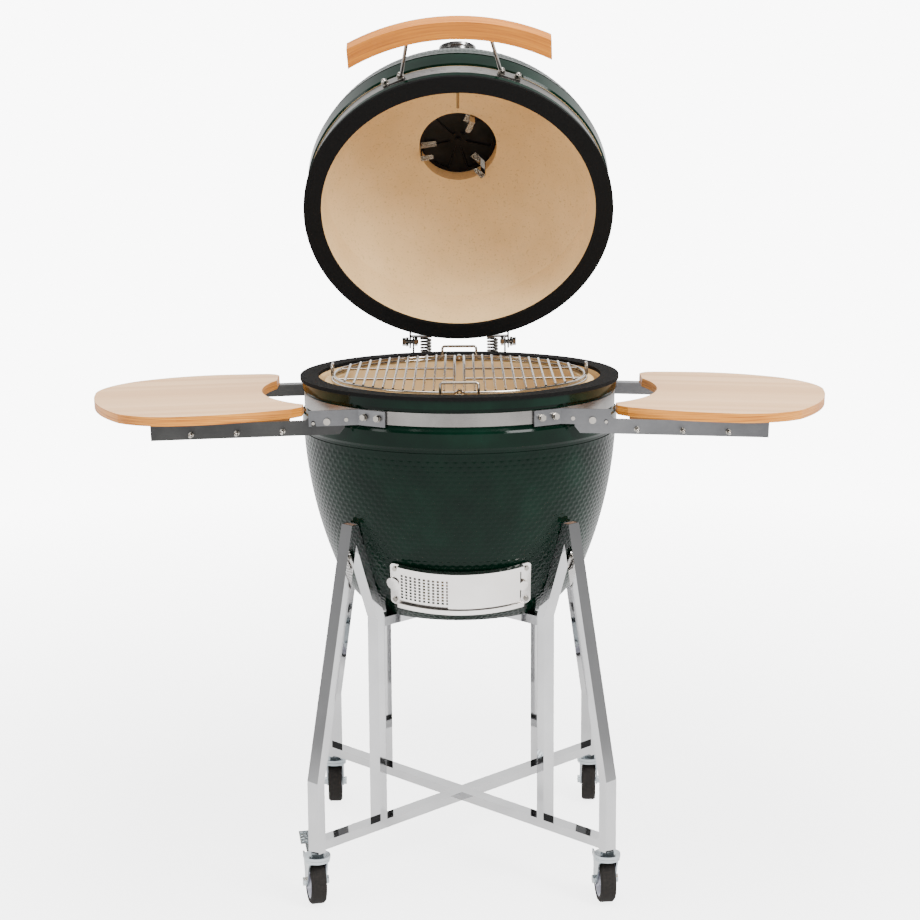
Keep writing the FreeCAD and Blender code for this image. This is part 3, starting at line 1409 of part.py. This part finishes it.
make_bowl()
make_rings()
make_firebox()
make_fire_ring()
make_ash_grate()
make_draft_frame()
make_draft_plates()
make_lid()
make_handle()
make_handle_rods()
make_gauge()
make_vent()
make_vent_clips()
make_lid_bracket()
make_bowl_bracket()
make_hinge_pins()
make_springs()
make_legs()
make_stand_tubes()
make_casters()
for shelf_name, shelf_side in SIDES.items():
    make_shelf(shelf_name, shelf_side)
make_arms()
make_bowl_fasteners()
make_lid_bolts()
make_grate_frame()
for half_name, half_side in SIDES.items():
    make_grate_half(half_name, half_side)
check_document()
write_steps()
print(len(sub_parts), "sub-parts")
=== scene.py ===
"""Looks for the ceramic charcoal grill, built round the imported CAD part.

Everything is in metres in the part's own frame. The lid's glazed skin and its handle's grain
are laid out in the lid's own frame, where its ring lies flat, and then turned to where the
open lid stands.
"""
import json
import math

import bpy
import numpy as np
from mathutils import Matrix, Vector


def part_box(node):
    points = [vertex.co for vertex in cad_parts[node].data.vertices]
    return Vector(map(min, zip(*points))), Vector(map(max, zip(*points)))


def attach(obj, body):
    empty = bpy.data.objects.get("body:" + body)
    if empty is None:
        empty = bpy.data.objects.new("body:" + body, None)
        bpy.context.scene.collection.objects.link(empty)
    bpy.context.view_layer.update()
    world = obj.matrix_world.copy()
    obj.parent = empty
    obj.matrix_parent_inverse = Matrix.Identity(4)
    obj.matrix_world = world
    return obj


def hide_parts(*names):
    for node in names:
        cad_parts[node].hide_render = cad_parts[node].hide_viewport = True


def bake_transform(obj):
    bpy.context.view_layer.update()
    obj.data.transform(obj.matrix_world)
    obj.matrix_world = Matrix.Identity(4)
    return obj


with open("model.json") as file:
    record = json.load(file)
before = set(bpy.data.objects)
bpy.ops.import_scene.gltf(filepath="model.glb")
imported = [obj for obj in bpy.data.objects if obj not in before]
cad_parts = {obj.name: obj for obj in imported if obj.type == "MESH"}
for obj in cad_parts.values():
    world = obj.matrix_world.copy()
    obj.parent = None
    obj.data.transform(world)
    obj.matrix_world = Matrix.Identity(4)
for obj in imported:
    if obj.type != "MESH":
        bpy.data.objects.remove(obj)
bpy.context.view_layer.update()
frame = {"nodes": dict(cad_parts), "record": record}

BASE = "stand_and_bowl"

# The lid's hinge behind the bowl's axis, and the height of the lid's ring when it is shut.
LID_ANGLE = math.radians(60.85)
HINGE_BACK = 0.282
HINGE_HEIGHT = 0.857
RING_HEIGHT = 0.842

# Heights that the glazed faces look away from: the bowl's, and the lid's in its own frame.
BOWL_CENTRE = 0.70
LID_CENTRE = 0.04

# The glazed skin stands just off the CAD shell, and dimples are pressed into it.
SKIN = 0.0011
DIMPLE_DEPTH = 0.0010
DIMPLES_AROUND = 112
DIMPLE_PITCH = 0.0079
ROWS_PER_DIMPLE = 3
COLUMNS_PER_DIMPLE = 6

# The outlines that carry dimples: arcs from (radius, height) to (radius, height), and their radius.
BOWL_ARCS = (((0.160, 0.460), (0.213, 0.537), 0.176),
             ((0.213, 0.537), (0.259, 0.752), 0.700))
LID_ARCS = (((0.259, 0.089), (0.203, 0.186), 0.170),
            ((0.203, 0.186), (0.086, 0.2453), 0.240))

# The bamboo strips across a shelf board, and the height of one layer in the handle.
STRIPS_PER_METRE = 44.0
HANDLE_LAYER = 0.0074

# The draft opening in the bowl, where the skin is left out.
DRAFT_HALF_WIDTH = 0.062
DRAFT_LOW = 0.4985
DRAFT_HIGH = 0.5445

# The lift springs: turns, half the wire's thickness, and how finely each is drawn.
SPRING_TURNS = 11.5
SPRING_WIRE = 0.0022
WIRE_SIDES = 8
STEPS_PER_TURN = 28

# World strengths: what lights the object, the white that the camera sees behind it, and the
# back wall that gloss reflects.
SOFT_LIGHT = 1.5
BACKDROP = 9.0
BACK_WALL = 1.8
LAMP_AIM = (0, 0, 0.8)

# Half the floor's width, and the distance that its fade is measured against.
FLOOR_REACH = 14.0
FLOOR_FADE = 10.0

# The camera stands in front of the bowl's axis and looks slightly down; angles are in radians.
CAMERA_LENS = 78.14
CAMERA_SHIFT = (0.0002, -0.0175)
CAMERA_BACK = 3.298
CAMERA_HEIGHT = 1.3277
CAMERA_TILT = 0.18196
CAMERA_ROLL = -0.006

low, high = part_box("bowl_shell")
AXIS_Y = (low.y + high.y) / 2
BOWL = Matrix.Translation((0, AXIS_Y, 0))


def lid_matrix():
    """Where the lid's own frame stands when the lid is open."""
    turn = Matrix.Rotation(-LID_ANGLE, 4, "X")
    hinge = Vector((0, AXIS_Y + HINGE_BACK, HINGE_HEIGHT))
    ring = Vector((0, -HINGE_BACK, RING_HEIGHT - HINGE_HEIGHT))
    return Matrix.Translation(hinge + turn @ ring) @ turn


LID = lid_matrix()


# ---------------------------------------------------------------- node trees

class Nodes:
    """A node tree under construction: short calls that each add one node."""

    def __init__(self, tree):
        self.tree = tree

    def node(self, kind, **inputs):
        node = self.tree.nodes.new(kind)
        for socket, value in inputs.items():
            self.put(node.inputs[socket.replace("_", " ")], value)
        return node

    def put(self, socket, value):
        if isinstance(value, bpy.types.NodeSocket):
            self.tree.links.new(value, socket)
        else:
            socket.default_value = value

    def split(self, vector):
        return self.node("ShaderNodeSeparateXYZ", Vector=vector).outputs

    def math(self, kind, first, second=0.0):
        node = self.node("ShaderNodeMath")
        node.operation = kind
        self.put(node.inputs[0], first)
        self.put(node.inputs[1], second)
        return node.outputs[0]

    def length(self, x, y):
        """How long the flat vector (x, y) is."""
        return self.math("SQRT", self.math("ADD", self.math("MULTIPLY", x, x), self.math("MULTIPLY", y, y)))

    def vector_math(self, kind, first, second):
        node = self.node("ShaderNodeVectorMath")
        node.operation = kind
        self.put(node.inputs[0], first)
        self.put(node.inputs[1], second)
        return node.outputs["Value" if kind == "DOT_PRODUCT" else "Vector"]

    def ramp(self, factor, *stops):
        """Stops are (position, grey level or colour)."""
        node = self.node("ShaderNodeValToRGB", Fac=factor)
        band = node.color_ramp.elements
        while len(band) < len(stops):
            band.new(0.5)
        for element, (position, level) in zip(band, stops, strict=True):
            element.position = position
            element.color = (*level, 1) if isinstance(level, tuple) else (level,) * 3 + (1,)
        return node.outputs[0]

    def mix(self, factor, first, second, kind="MIX"):
        """A colour made of two colours."""
        node = self.node("ShaderNodeMix")
        node.data_type, node.blend_type = "RGBA", kind
        self.put(node.inputs[0], factor)
        for socket, value in ((node.inputs[6], first), (node.inputs[7], second)):
            self.put(socket, (*value, 1) if isinstance(value, tuple) else value)
        return node.outputs[2]

    def between(self, factor, first, second):
        """A number between two numbers."""
        node = self.node("ShaderNodeMix")
        self.put(node.inputs[0], factor)
        self.put(node.inputs[2], first)
        self.put(node.inputs[3], second)
        return node.outputs[0]


class Paint(Nodes):
    """The nodes of one material, which lead to its Principled shader."""

    def __init__(self, name, **fixed):
        self.material = bpy.data.materials.new(name)
        self.material.use_nodes = True
        super().__init__(self.material.node_tree)
        self.shader = self.tree.nodes["Principled BSDF"]
        for socket, value in fixed.items():
            self.shader.inputs[socket.replace("_", " ")].default_value = value

    def out(self, socket, value):
        self.put(self.shader.inputs[socket.replace("_", " ")], value)

    def place(self, scale=(1, 1, 1), frame_of=None):
        """Coordinates that ride with the piece, in metres, stretched by scale."""
        source = self.node("ShaderNodeTexCoord").outputs["Object"]
        if frame_of is not None:
            mapping = self.node("ShaderNodeMapping", Vector=source)
            mapping.vector_type = "TEXTURE"
            mapping.inputs["Location"].default_value = frame_of.to_translation()
            mapping.inputs["Rotation"].default_value = frame_of.to_euler()
            source = mapping.outputs[0]
        return self.node("ShaderNodeMapping", Vector=source, Scale=scale).outputs[0]

    def normal(self):
        return self.node("ShaderNodeTexCoord").outputs["Normal"]

    def noise(self, where, scale, detail=4.0, rough=0.55):
        node = self.node("ShaderNodeTexNoise", Vector=where, Scale=scale, Detail=detail,
                         Roughness=rough)
        return node.outputs[0]

    def bump(self, height, strength, distance=0.0004):
        node = self.node("ShaderNodeBump", Height=height, Strength=strength, Distance=distance)
        self.out("Normal", node.outputs[0])


# ---------------------------------------------------------------- materials

def metal(name, dark, light, rough, grain=(1, 1, 1), scale=90.0, relief=0.05):
    """Bare or plated metal: cloudy colour, uneven polish and a fine grain."""
    paint = Paint(name, Metallic=1.0)
    cloud = paint.noise(paint.place(), 9.0, 5.0)
    fine = paint.noise(paint.place(grain), scale, 6.0, 0.7)
    paint.out("Base_Color", paint.mix(paint.ramp(cloud, (0.35, 0.0), (0.7, 1.0)), dark, light))
    paint.out("Roughness", paint.ramp(fine, (0.3, rough * 0.75), (0.75, rough * 1.35)))
    paint.bump(fine, relief)
    return paint.material


def solid_paint(name, dark, light, rough, scale=60.0, relief=0.1, **fixed):
    """Plastic, rubber, enamel or glass with a mottled tone and a fine texture."""
    paint = Paint(name, **fixed)
    mottle = paint.noise(paint.place(), scale, 5.0)
    paint.out("Base_Color", paint.ramp(mottle, (0.35, dark), (0.7, light)))
    paint.out("Roughness", paint.ramp(mottle, (0.3, rough * 0.8), (0.75, rough * 1.2)))
    paint.bump(mottle, relief)
    return paint.material


def glaze_paint(name, centre):
    """Dark green glaze outside and bare buff clay on every face that looks at the centre."""
    paint = Paint(name, Specular_IOR_Level=0.11)
    where = paint.place()
    outward = paint.vector_math("SUBTRACT", where, centre)
    facing = paint.vector_math("DOT_PRODUCT", outward, paint.normal())
    inside = paint.math("LESS_THAN", facing, 0.0)
    pool = paint.ramp(paint.noise(where, 14.0, 6.0), (0.3, (0.0006, 0.0048, 0.0026)),
                      (0.55, (0.0009, 0.0085, 0.0045)), (0.8, (0.0018, 0.0145, 0.0080)))
    clay = paint.ramp(paint.noise(where, 5.0, 8.0), (0.3, (0.64, 0.43, 0.20)),
                      (0.7, (0.80, 0.57, 0.29)))
    speck = paint.ramp(paint.noise(where, 260.0, 2.0), (0.28, 0.75), (0.42, 1.0))
    paint.out("Base_Color", paint.mix(inside, pool, paint.mix(1.0, clay, speck, "MULTIPLY")))
    gloss = paint.ramp(paint.noise(where, 30.0, 3.0), (0.3, 0.07), (0.8, 0.13))
    paint.out("Roughness", paint.mix(inside, gloss, (0.85, 0.85, 0.85)))
    paint.bump(paint.noise(where, 420.0, 3.0), 0.12)
    return paint.material


def clay_paint():
    """Bare fire clay with cloudy tones and a gritty skin."""
    paint = Paint("clay", Roughness=0.9)
    where = paint.place()
    body = paint.ramp(paint.noise(where, 6.0, 8.0), (0.3, (0.58, 0.39, 0.18)),
                      (0.7, (0.72, 0.51, 0.26)))
    paint.out("Base_Color", body)
    paint.bump(paint.noise(where, 300.0, 6.0), 0.3, 0.0006)
    return paint.material


def felt_paint():
    """Black felt with a short nap."""
    paint = Paint("felt", Roughness=1.0, Specular_IOR_Level=0.15)
    nap = paint.noise(paint.place(), 900.0, 4.0, 0.8)
    paint.out("Base_Color", paint.ramp(nap, (0.35, (0.0015, 0.0015, 0.0015)),
                                       (0.75, (0.008, 0.0075, 0.007))))
    paint.bump(nap, 0.8, 0.001)
    return paint.material


def bamboo_paint():
    """Pale glued strips along X with darker, layered edges."""
    paint = Paint("bamboo", Specular_IOR_Level=0.3)
    across = paint.split(paint.place())["Y"]
    tint = paint.node("ShaderNodeTexWhiteNoise")
    tint.noise_dimensions = "1D"
    paint.put(tint.inputs["W"], paint.math("FLOOR", paint.math("MULTIPLY", across, STRIPS_PER_METRE)))
    fibre = paint.noise(paint.place((2.5, 150.0, 60.0)), 9.0, 6.0, 0.7)
    tone = paint.math("ADD", paint.math("MULTIPLY", tint.outputs[0], 0.35),
                      paint.math("MULTIPLY", fibre, 0.65))
    top = paint.ramp(tone, (0.2, (0.56, 0.29, 0.11)), (0.5, (0.68, 0.39, 0.17)),
                     (0.8, (0.78, 0.49, 0.25)))
    layer = paint.noise(paint.place((5.0, 5.0, 420.0)), 2.0, 3.0, 0.6)
    side = paint.ramp(layer, (0.3, (0.24, 0.065, 0.006)), (0.5, (0.56, 0.20, 0.02)),
                      (0.7, (0.72, 0.31, 0.05)))
    upward = paint.math("ABSOLUTE", paint.split(paint.normal())["Z"])
    paint.out("Base_Color", paint.mix(paint.math("GREATER_THAN", upward, 0.6), side, top))
    paint.out("Roughness", paint.ramp(fibre, (0.3, 0.34), (0.8, 0.5)))
    paint.bump(fibre, 0.15)
    return paint.material


def handle_paint():
    """Orange-tan bamboo whose layers and fibres follow the handle's arc round the lid."""
    paint = Paint("handle_wood", Specular_IOR_Level=0.3)
    x, y, z = paint.split(paint.place(frame_of=LID))
    angle = paint.math("ARCTAN2", x, paint.math("MULTIPLY", y, -1.0))
    along = paint.node("ShaderNodeCombineXYZ", X=paint.math("MULTIPLY", angle, 3.0),
                       Y=paint.math("MULTIPLY", paint.length(x, y), 420.0),
                       Z=paint.math("MULTIPLY", z, 420.0))
    fibre = paint.noise(along.outputs[0], 1.0, 7.0, 0.65)
    layer = paint.math("FRACT", paint.math("MULTIPLY", z, 1 / HANDLE_LAYER))
    seam = paint.ramp(layer, (0.0, 0.7), (0.07, 1.0))
    wood = paint.ramp(fibre, (0.28, (0.26, 0.07, 0.002)), (0.5, (0.46, 0.145, 0.006)),
                      (0.75, (0.62, 0.235, 0.015)))
    paint.out("Base_Color", paint.mix(1.0, wood, seam, "MULTIPLY"))
    paint.out("Roughness", paint.ramp(fibre, (0.3, 0.3), (0.8, 0.45)))
    paint.bump(fibre, 0.12)
    return paint.material


PAINTS = {
    "felt": felt_paint(),
    "band_steel": metal("band_steel", (0.20, 0.19, 0.18), (0.32, 0.305, 0.29), 0.30, (1, 1, 30), 60.0),
    "clay": clay_paint(),
    "iron": metal("iron", (0.010, 0.010, 0.010), (0.03, 0.028, 0.026), 0.5, scale=240.0, relief=0.4),
    "draft_steel": metal("draft_steel", (0.72, 0.69, 0.66), (0.85, 0.82, 0.79), 0.20, (1, 1, 24), 60.0),
    "fastener_steel": metal("fastener_steel", (0.30, 0.28, 0.25), (0.50, 0.47, 0.43), 0.16),
    "spring_steel": metal("spring_steel", (0.20, 0.185, 0.17), (0.38, 0.36, 0.33), 0.2),
    "handle_wood": handle_paint(),
    "bamboo": bamboo_paint(),
    "rail_steel": metal("rail_steel", (0.13, 0.13, 0.135), (0.22, 0.22, 0.225), 0.34, (1, 1, 20), 60.0),
    # A darker copy of the rail steel: painted shade for the left shelf's rails.
    "rail_painted_shade": metal("rail_painted_shade", (0.045, 0.045, 0.045), (0.085, 0.084, 0.082), 0.34,
                        (1, 1, 20), 60.0),
    "stand_chrome": metal("stand_chrome", (0.46, 0.46, 0.465), (0.54, 0.54, 0.545), 0.04,
                          (1, 1, 6), 30.0, 0.01),
    "cap_plastic": solid_paint("cap_plastic", (0.16, 0.10, 0.07), (0.30, 0.20, 0.15), 0.45),
    "zinc": metal("zinc", (0.34, 0.38, 0.40), (0.52, 0.56, 0.58), 0.2),
    "hub_plastic": solid_paint("hub_plastic", (0.36, 0.36, 0.42), (0.50, 0.50, 0.56), 0.4),
    "tyre": solid_paint("tyre", (0.009, 0.008, 0.007), (0.022, 0.019, 0.017), 0.85, 300.0, 0.4,
                        Specular_IOR_Level=0.2),
    "grate_wire": metal("grate_wire", (0.34, 0.30, 0.25), (0.55, 0.51, 0.45), 0.16),
    "gauge_case": metal("gauge_case", (0.28, 0.27, 0.26), (0.42, 0.41, 0.40), 0.2),
    "gauge_needle": solid_paint("gauge_needle", (0.35, 0.02, 0.015), (0.5, 0.04, 0.03), 0.4),
    "gauge_glass": solid_paint("gauge_glass", (0.92, 0.94, 0.95), (1.0, 1.0, 1.0), 0.05, relief=0.01,
                               Transmission_Weight=1.0, IOR=1.45),
}
BOWL_GLAZE = glaze_paint("bowl_glaze", (0.0, AXIS_Y, BOWL_CENTRE))
LID_GLAZE = glaze_paint("lid_glaze", tuple(LID @ Vector((0, 0, LID_CENTRE))))
SLOT_OF = {entry["node"]: entry["material_slot"] for entry in frame["record"]["subparts"]}

# How wide the softened edges are, by material slot. The other slots keep theirs sharp.
SOFT_EDGES = {"bamboo": 0.0016, "handle_wood": 0.0016, "stand_chrome": 0.0012, "zinc": 0.0004,
              "rail_steel": 0.0004, "band_steel": 0.0003, "draft_steel": 0.0002, "clay": 0.0012,
              "iron": 0.0005, "cap_plastic": 0.0004, "fastener_steel": 0.0003}


def finish_material(node):
    """The paint of a CAD node, from its material slot."""
    if SLOT_OF[node] == "glaze":
        return BOWL_GLAZE if node == "bowl_shell" else LID_GLAZE
    # The left shelf's rails take the darker copy of the rail steel, as painted shade.
    if node == "shelf_rails_left":
        return PAINTS["rail_painted_shade"]
    return PAINTS[SLOT_OF[node]]


def dress_nodes():
    """Give every CAD node its paint, and softened edges where its slot has them.

    The draft screen's edges stay sharp, because its holes are too small and close to soften.
    """
    for name, node in frame["nodes"].items():
        node.data.materials.clear()
        node.data.materials.append(finish_material(name))
        width = SOFT_EDGES.get(SLOT_OF[name])
        if width and name != "draft_screen":
            bevel = node.modifiers.new("soft_edges", "BEVEL")
            bevel.width = width
            bevel.segments = 2
            bevel.limit_method = "ANGLE"
            bevel.angle_limit = math.radians(35)
            bevel.use_clamp_overlap = True
            bevel.harden_normals = True


# ---------------------------------------------------------------- meshes

def make_piece(name, points, faces, material, matrix=None):
    """A smooth mesh object in the scene."""
    mesh = bpy.data.meshes.new(name)
    mesh.from_pydata([tuple(p) for p in points], [], faces)
    if matrix is not None:
        mesh.transform(matrix)
    mesh.polygons.foreach_set("use_smooth", [True] * len(mesh.polygons))
    mesh.materials.append(material)
    piece = bpy.data.objects.new(name, mesh)
    bpy.context.scene.collection.objects.link(piece)
    return piece


def arc(start, end, radius, count=400):
    """Points on the arc between two (radius, height) points; a positive radius turns left."""
    start, end = np.array(start), np.array(end)
    chord = end - start
    half = np.hypot(*chord) / 2
    left = np.array([-chord[1], chord[0]]) / (2 * half)
    centre = (start + end) / 2 + left * math.copysign(math.sqrt(radius ** 2 - half ** 2), radius)
    first = math.atan2(*(start - centre)[::-1])
    sweep = 2 * math.asin(half / abs(radius)) * math.copysign(1, radius)
    turns = first + sweep * np.linspace(0, 1, count)
    return centre + abs(radius) * np.stack([np.cos(turns), np.sin(turns)], 1)


def even_profile(arcs, step):
    """Evenly spaced points along joined arcs, and how far along each one is."""
    fine = np.concatenate([arc(*one) for one in arcs])
    steps = np.hypot(*np.diff(fine, axis=0).T)
    length = np.concatenate([[0], np.cumsum(steps)])
    places = np.linspace(0, length[-1], max(2, round(length[-1] / step)) + 1)
    return np.stack([np.interp(places, length, fine[:, k]) for k in (0, 1)], 1), places


def dimpled_skin(name, arcs, material, body, matrix, keep=None):
    """The glazed skin over a turned shape, pressed all over with staggered oval dimples."""
    columns = COLUMNS_PER_DIMPLE * DIMPLES_AROUND
    profile, places = even_profile(arcs, DIMPLE_PITCH / ROWS_PER_DIMPLE)
    along = np.gradient(profile, axis=0)
    along /= np.hypot(*along.T)[:, None]
    outward = np.stack([along[:, 1], -along[:, 0]], 1)
    row = places / (places[-1] / round(places[-1] / DIMPLE_PITCH))
    across = row - np.floor(row) - 0.5
    turn = np.arange(columns) / columns * 2 * math.pi
    cell = turn / (2 * math.pi) * DIMPLES_AROUND
    shifted = cell[None, :] + 0.5 * (np.floor(row)[:, None] % 2)
    wide = shifted - np.floor(shifted) - 0.5
    hollow = np.clip(1 - (wide / 0.5) ** 2 - (across[:, None] / 0.5) ** 2, 0, 1)
    edge = np.clip(np.minimum(places, places[-1] - places) / DIMPLE_PITCH, 0, 1)[:, None]
    offset = SKIN - DIMPLE_DEPTH * np.sqrt(hollow) * edge
    radius = profile[:, 0][:, None] + outward[:, 0][:, None] * offset
    height = profile[:, 1][:, None] + outward[:, 1][:, None] * offset
    points = np.stack([radius * np.sin(turn), -radius * np.cos(turn), height], 2)
    faces = []
    for i in range(len(profile) - 1):
        lower, upper = i * columns, (i + 1) * columns
        for j in range(columns):
            after = (j + 1) % columns
            if keep is None or keep(points[i, j]):
                faces.append((lower + j, lower + after, upper + after, upper + j))
    skin = make_piece(name, points.reshape(-1, 3), faces, material, matrix)
    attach(skin, body)


def clear_of_draft(point):
    """True away from the draft opening at the bowl's front."""
    return not (abs(point[0]) < DRAFT_HALF_WIDTH and DRAFT_LOW < point[2] < DRAFT_HIGH and point[1] < 0)


def coil(name, centre, low_z, high_z, radius):
    """A spring wound upright from one height to the other."""
    steps = round(SPRING_TURNS * STEPS_PER_TURN)
    points, faces = [], []
    for i in range(steps + 1):
        share = i / steps
        turn = 2 * math.pi * SPRING_TURNS * share
        rise = low_z + SPRING_WIRE + (high_z - low_z - 2 * SPRING_WIRE) * share
        for j in range(WIRE_SIDES):
            bend = 2 * math.pi * j / WIRE_SIDES
            reach = radius + SPRING_WIRE * math.cos(bend)
            points.append((centre[0] + reach * math.cos(turn), centre[1] + reach * math.sin(turn),
                           rise + SPRING_WIRE * math.sin(bend)))
    for i in range(steps):
        here, there = i * WIRE_SIDES, (i + 1) * WIRE_SIDES
        for j in range(WIRE_SIDES):
            after = (j + 1) % WIRE_SIDES
            faces.append((here + j, there + j, there + after, here + after))
    faces.append(tuple(range(WIRE_SIDES)))
    faces.append(tuple(steps * WIRE_SIDES + j for j in reversed(range(WIRE_SIDES))))
    return make_piece(name, points, faces, PAINTS["spring_steel"])


def make_springs():
    """The lid's two lift springs, wound in the space of their CAD sleeves."""
    spring_low, spring_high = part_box("hinge_springs")
    radius = (spring_high.y - spring_low.y) / 2
    middle = (spring_low.y + spring_high.y) / 2
    for side_name, side in (("left", -1), ("right", 1)):
        centre = (side * (spring_high.x - radius), middle)
        spring = coil(f"spring_coil_{side_name}", centre, spring_low.z, spring_high.z,
                      radius - SPRING_WIRE)
        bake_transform(spring)
        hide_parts("hinge_springs")


dress_nodes()
dimpled_skin("bowl_dimples", BOWL_ARCS, BOWL_GLAZE, BASE, BOWL, clear_of_draft)
dimpled_skin("lid_dimples", LID_ARCS, LID_GLAZE, "lid", LID)
make_springs()


# ---------------------------------------------------------------- stage, lights and camera

def area_light(name, place, size, power):
    """A soft rectangular lamp that points at the grill's middle."""
    lamp = bpy.data.lights.new(name, "AREA")
    lamp.shape = "RECTANGLE"
    lamp.size, lamp.size_y = size
    lamp.energy = power
    holder = bpy.data.objects.new(name, lamp)
    holder.location = place
    holder.rotation_euler = (Vector(LAMP_AIM) - Vector(place)).to_track_quat("-Z", "Y").to_euler()
    bpy.context.scene.collection.objects.link(holder)


def studio_world():
    """A white backdrop, even soft light, and a room with a white floor and grey walls to reflect."""
    world = bpy.data.worlds.new("studio")
    world.use_nodes = True
    nodes = Nodes(world.node_tree)
    facing = nodes.split(nodes.node("ShaderNodeTexCoord").outputs["Generated"])

    def levels(direction, *stops):
        """A grey level for each value of a direction, from -1 to 1."""
        share = nodes.node("ShaderNodeMapRange", Value=direction, From_Min=-1.0).outputs[0]
        return nodes.ramp(share, *(((value + 1) / 2, level) for value, level in stops))

    walls = levels(facing["Z"], (-0.12, 2.2), (-0.06, 0.6), (0.3, 0.14), (0.6, 0.05), (0.9, 0.6))
    behind = levels(facing["Y"], (0.45, 0.0), (0.7, 1.0))
    room = nodes.between(behind, walls, BACK_WALL)
    path = nodes.node("ShaderNodeLightPath").outputs
    light = nodes.between(path["Is Glossy Ray"], SOFT_LIGHT, room)
    background = nodes.tree.nodes["Background"]
    background.inputs["Color"].default_value = (1, 1, 1, 1)
    nodes.put(background.inputs["Strength"], nodes.between(path["Is Camera Ray"], light, BACKDROP))
    return world


def make_stage():
    """A pale floor that fades into the white backdrop."""
    mesh = bpy.data.meshes.new("floor")
    corners = [(-FLOOR_REACH, -FLOOR_REACH, 0), (FLOOR_REACH, -FLOOR_REACH, 0),
               (FLOOR_REACH, FLOOR_REACH, 0), (-FLOOR_REACH, FLOOR_REACH, 0)]
    mesh.from_pydata(corners, [], [(0, 1, 2, 3)])
    floor = bpy.data.objects.new("floor", mesh)
    paint = Paint("floor_paint", Roughness=0.9, Specular_IOR_Level=0.1)
    where = paint.place()
    paint.out("Base_Color", paint.ramp(paint.noise(where, 2.0), (0.3, 0.93), (0.7, 0.95)))
    away = paint.length(*paint.split(where)[:2])
    paint.out("Alpha", paint.ramp(paint.math("DIVIDE", away, FLOOR_FADE), (0.06, 0.6), (0.3, 0.0)))
    mesh.materials.append(paint.material)
    bpy.context.scene.collection.objects.link(floor)
    bpy.context.scene.world = studio_world()


def make_camera():
    """The camera of the product view: a long lens, looking slightly down."""
    data = bpy.data.cameras.new("camera")
    data.sensor_width = 36.0
    data.lens = CAMERA_LENS
    data.shift_x, data.shift_y = CAMERA_SHIFT
    camera = bpy.data.objects.new("camera", data)
    camera.location = (0, AXIS_Y - CAMERA_BACK, CAMERA_HEIGHT)
    level = Matrix.Rotation(math.pi / 2 - CAMERA_TILT, 4, "X")
    camera.rotation_euler = (level @ Matrix.Rotation(CAMERA_ROLL, 4, "Z")).to_euler()
    bpy.context.scene.collection.objects.link(camera)
    bpy.context.scene.camera = camera


make_stage()
area_light("key", (2.2, -2.2, 2.9), (1.1, 1.8), 190)
area_light("fill", (-2.8, -1.6, 1.8), (0.6, 2.0), 35)
area_light("top", (0, -0.2, 3.4), (2.4, 1.8), 100)
make_camera()
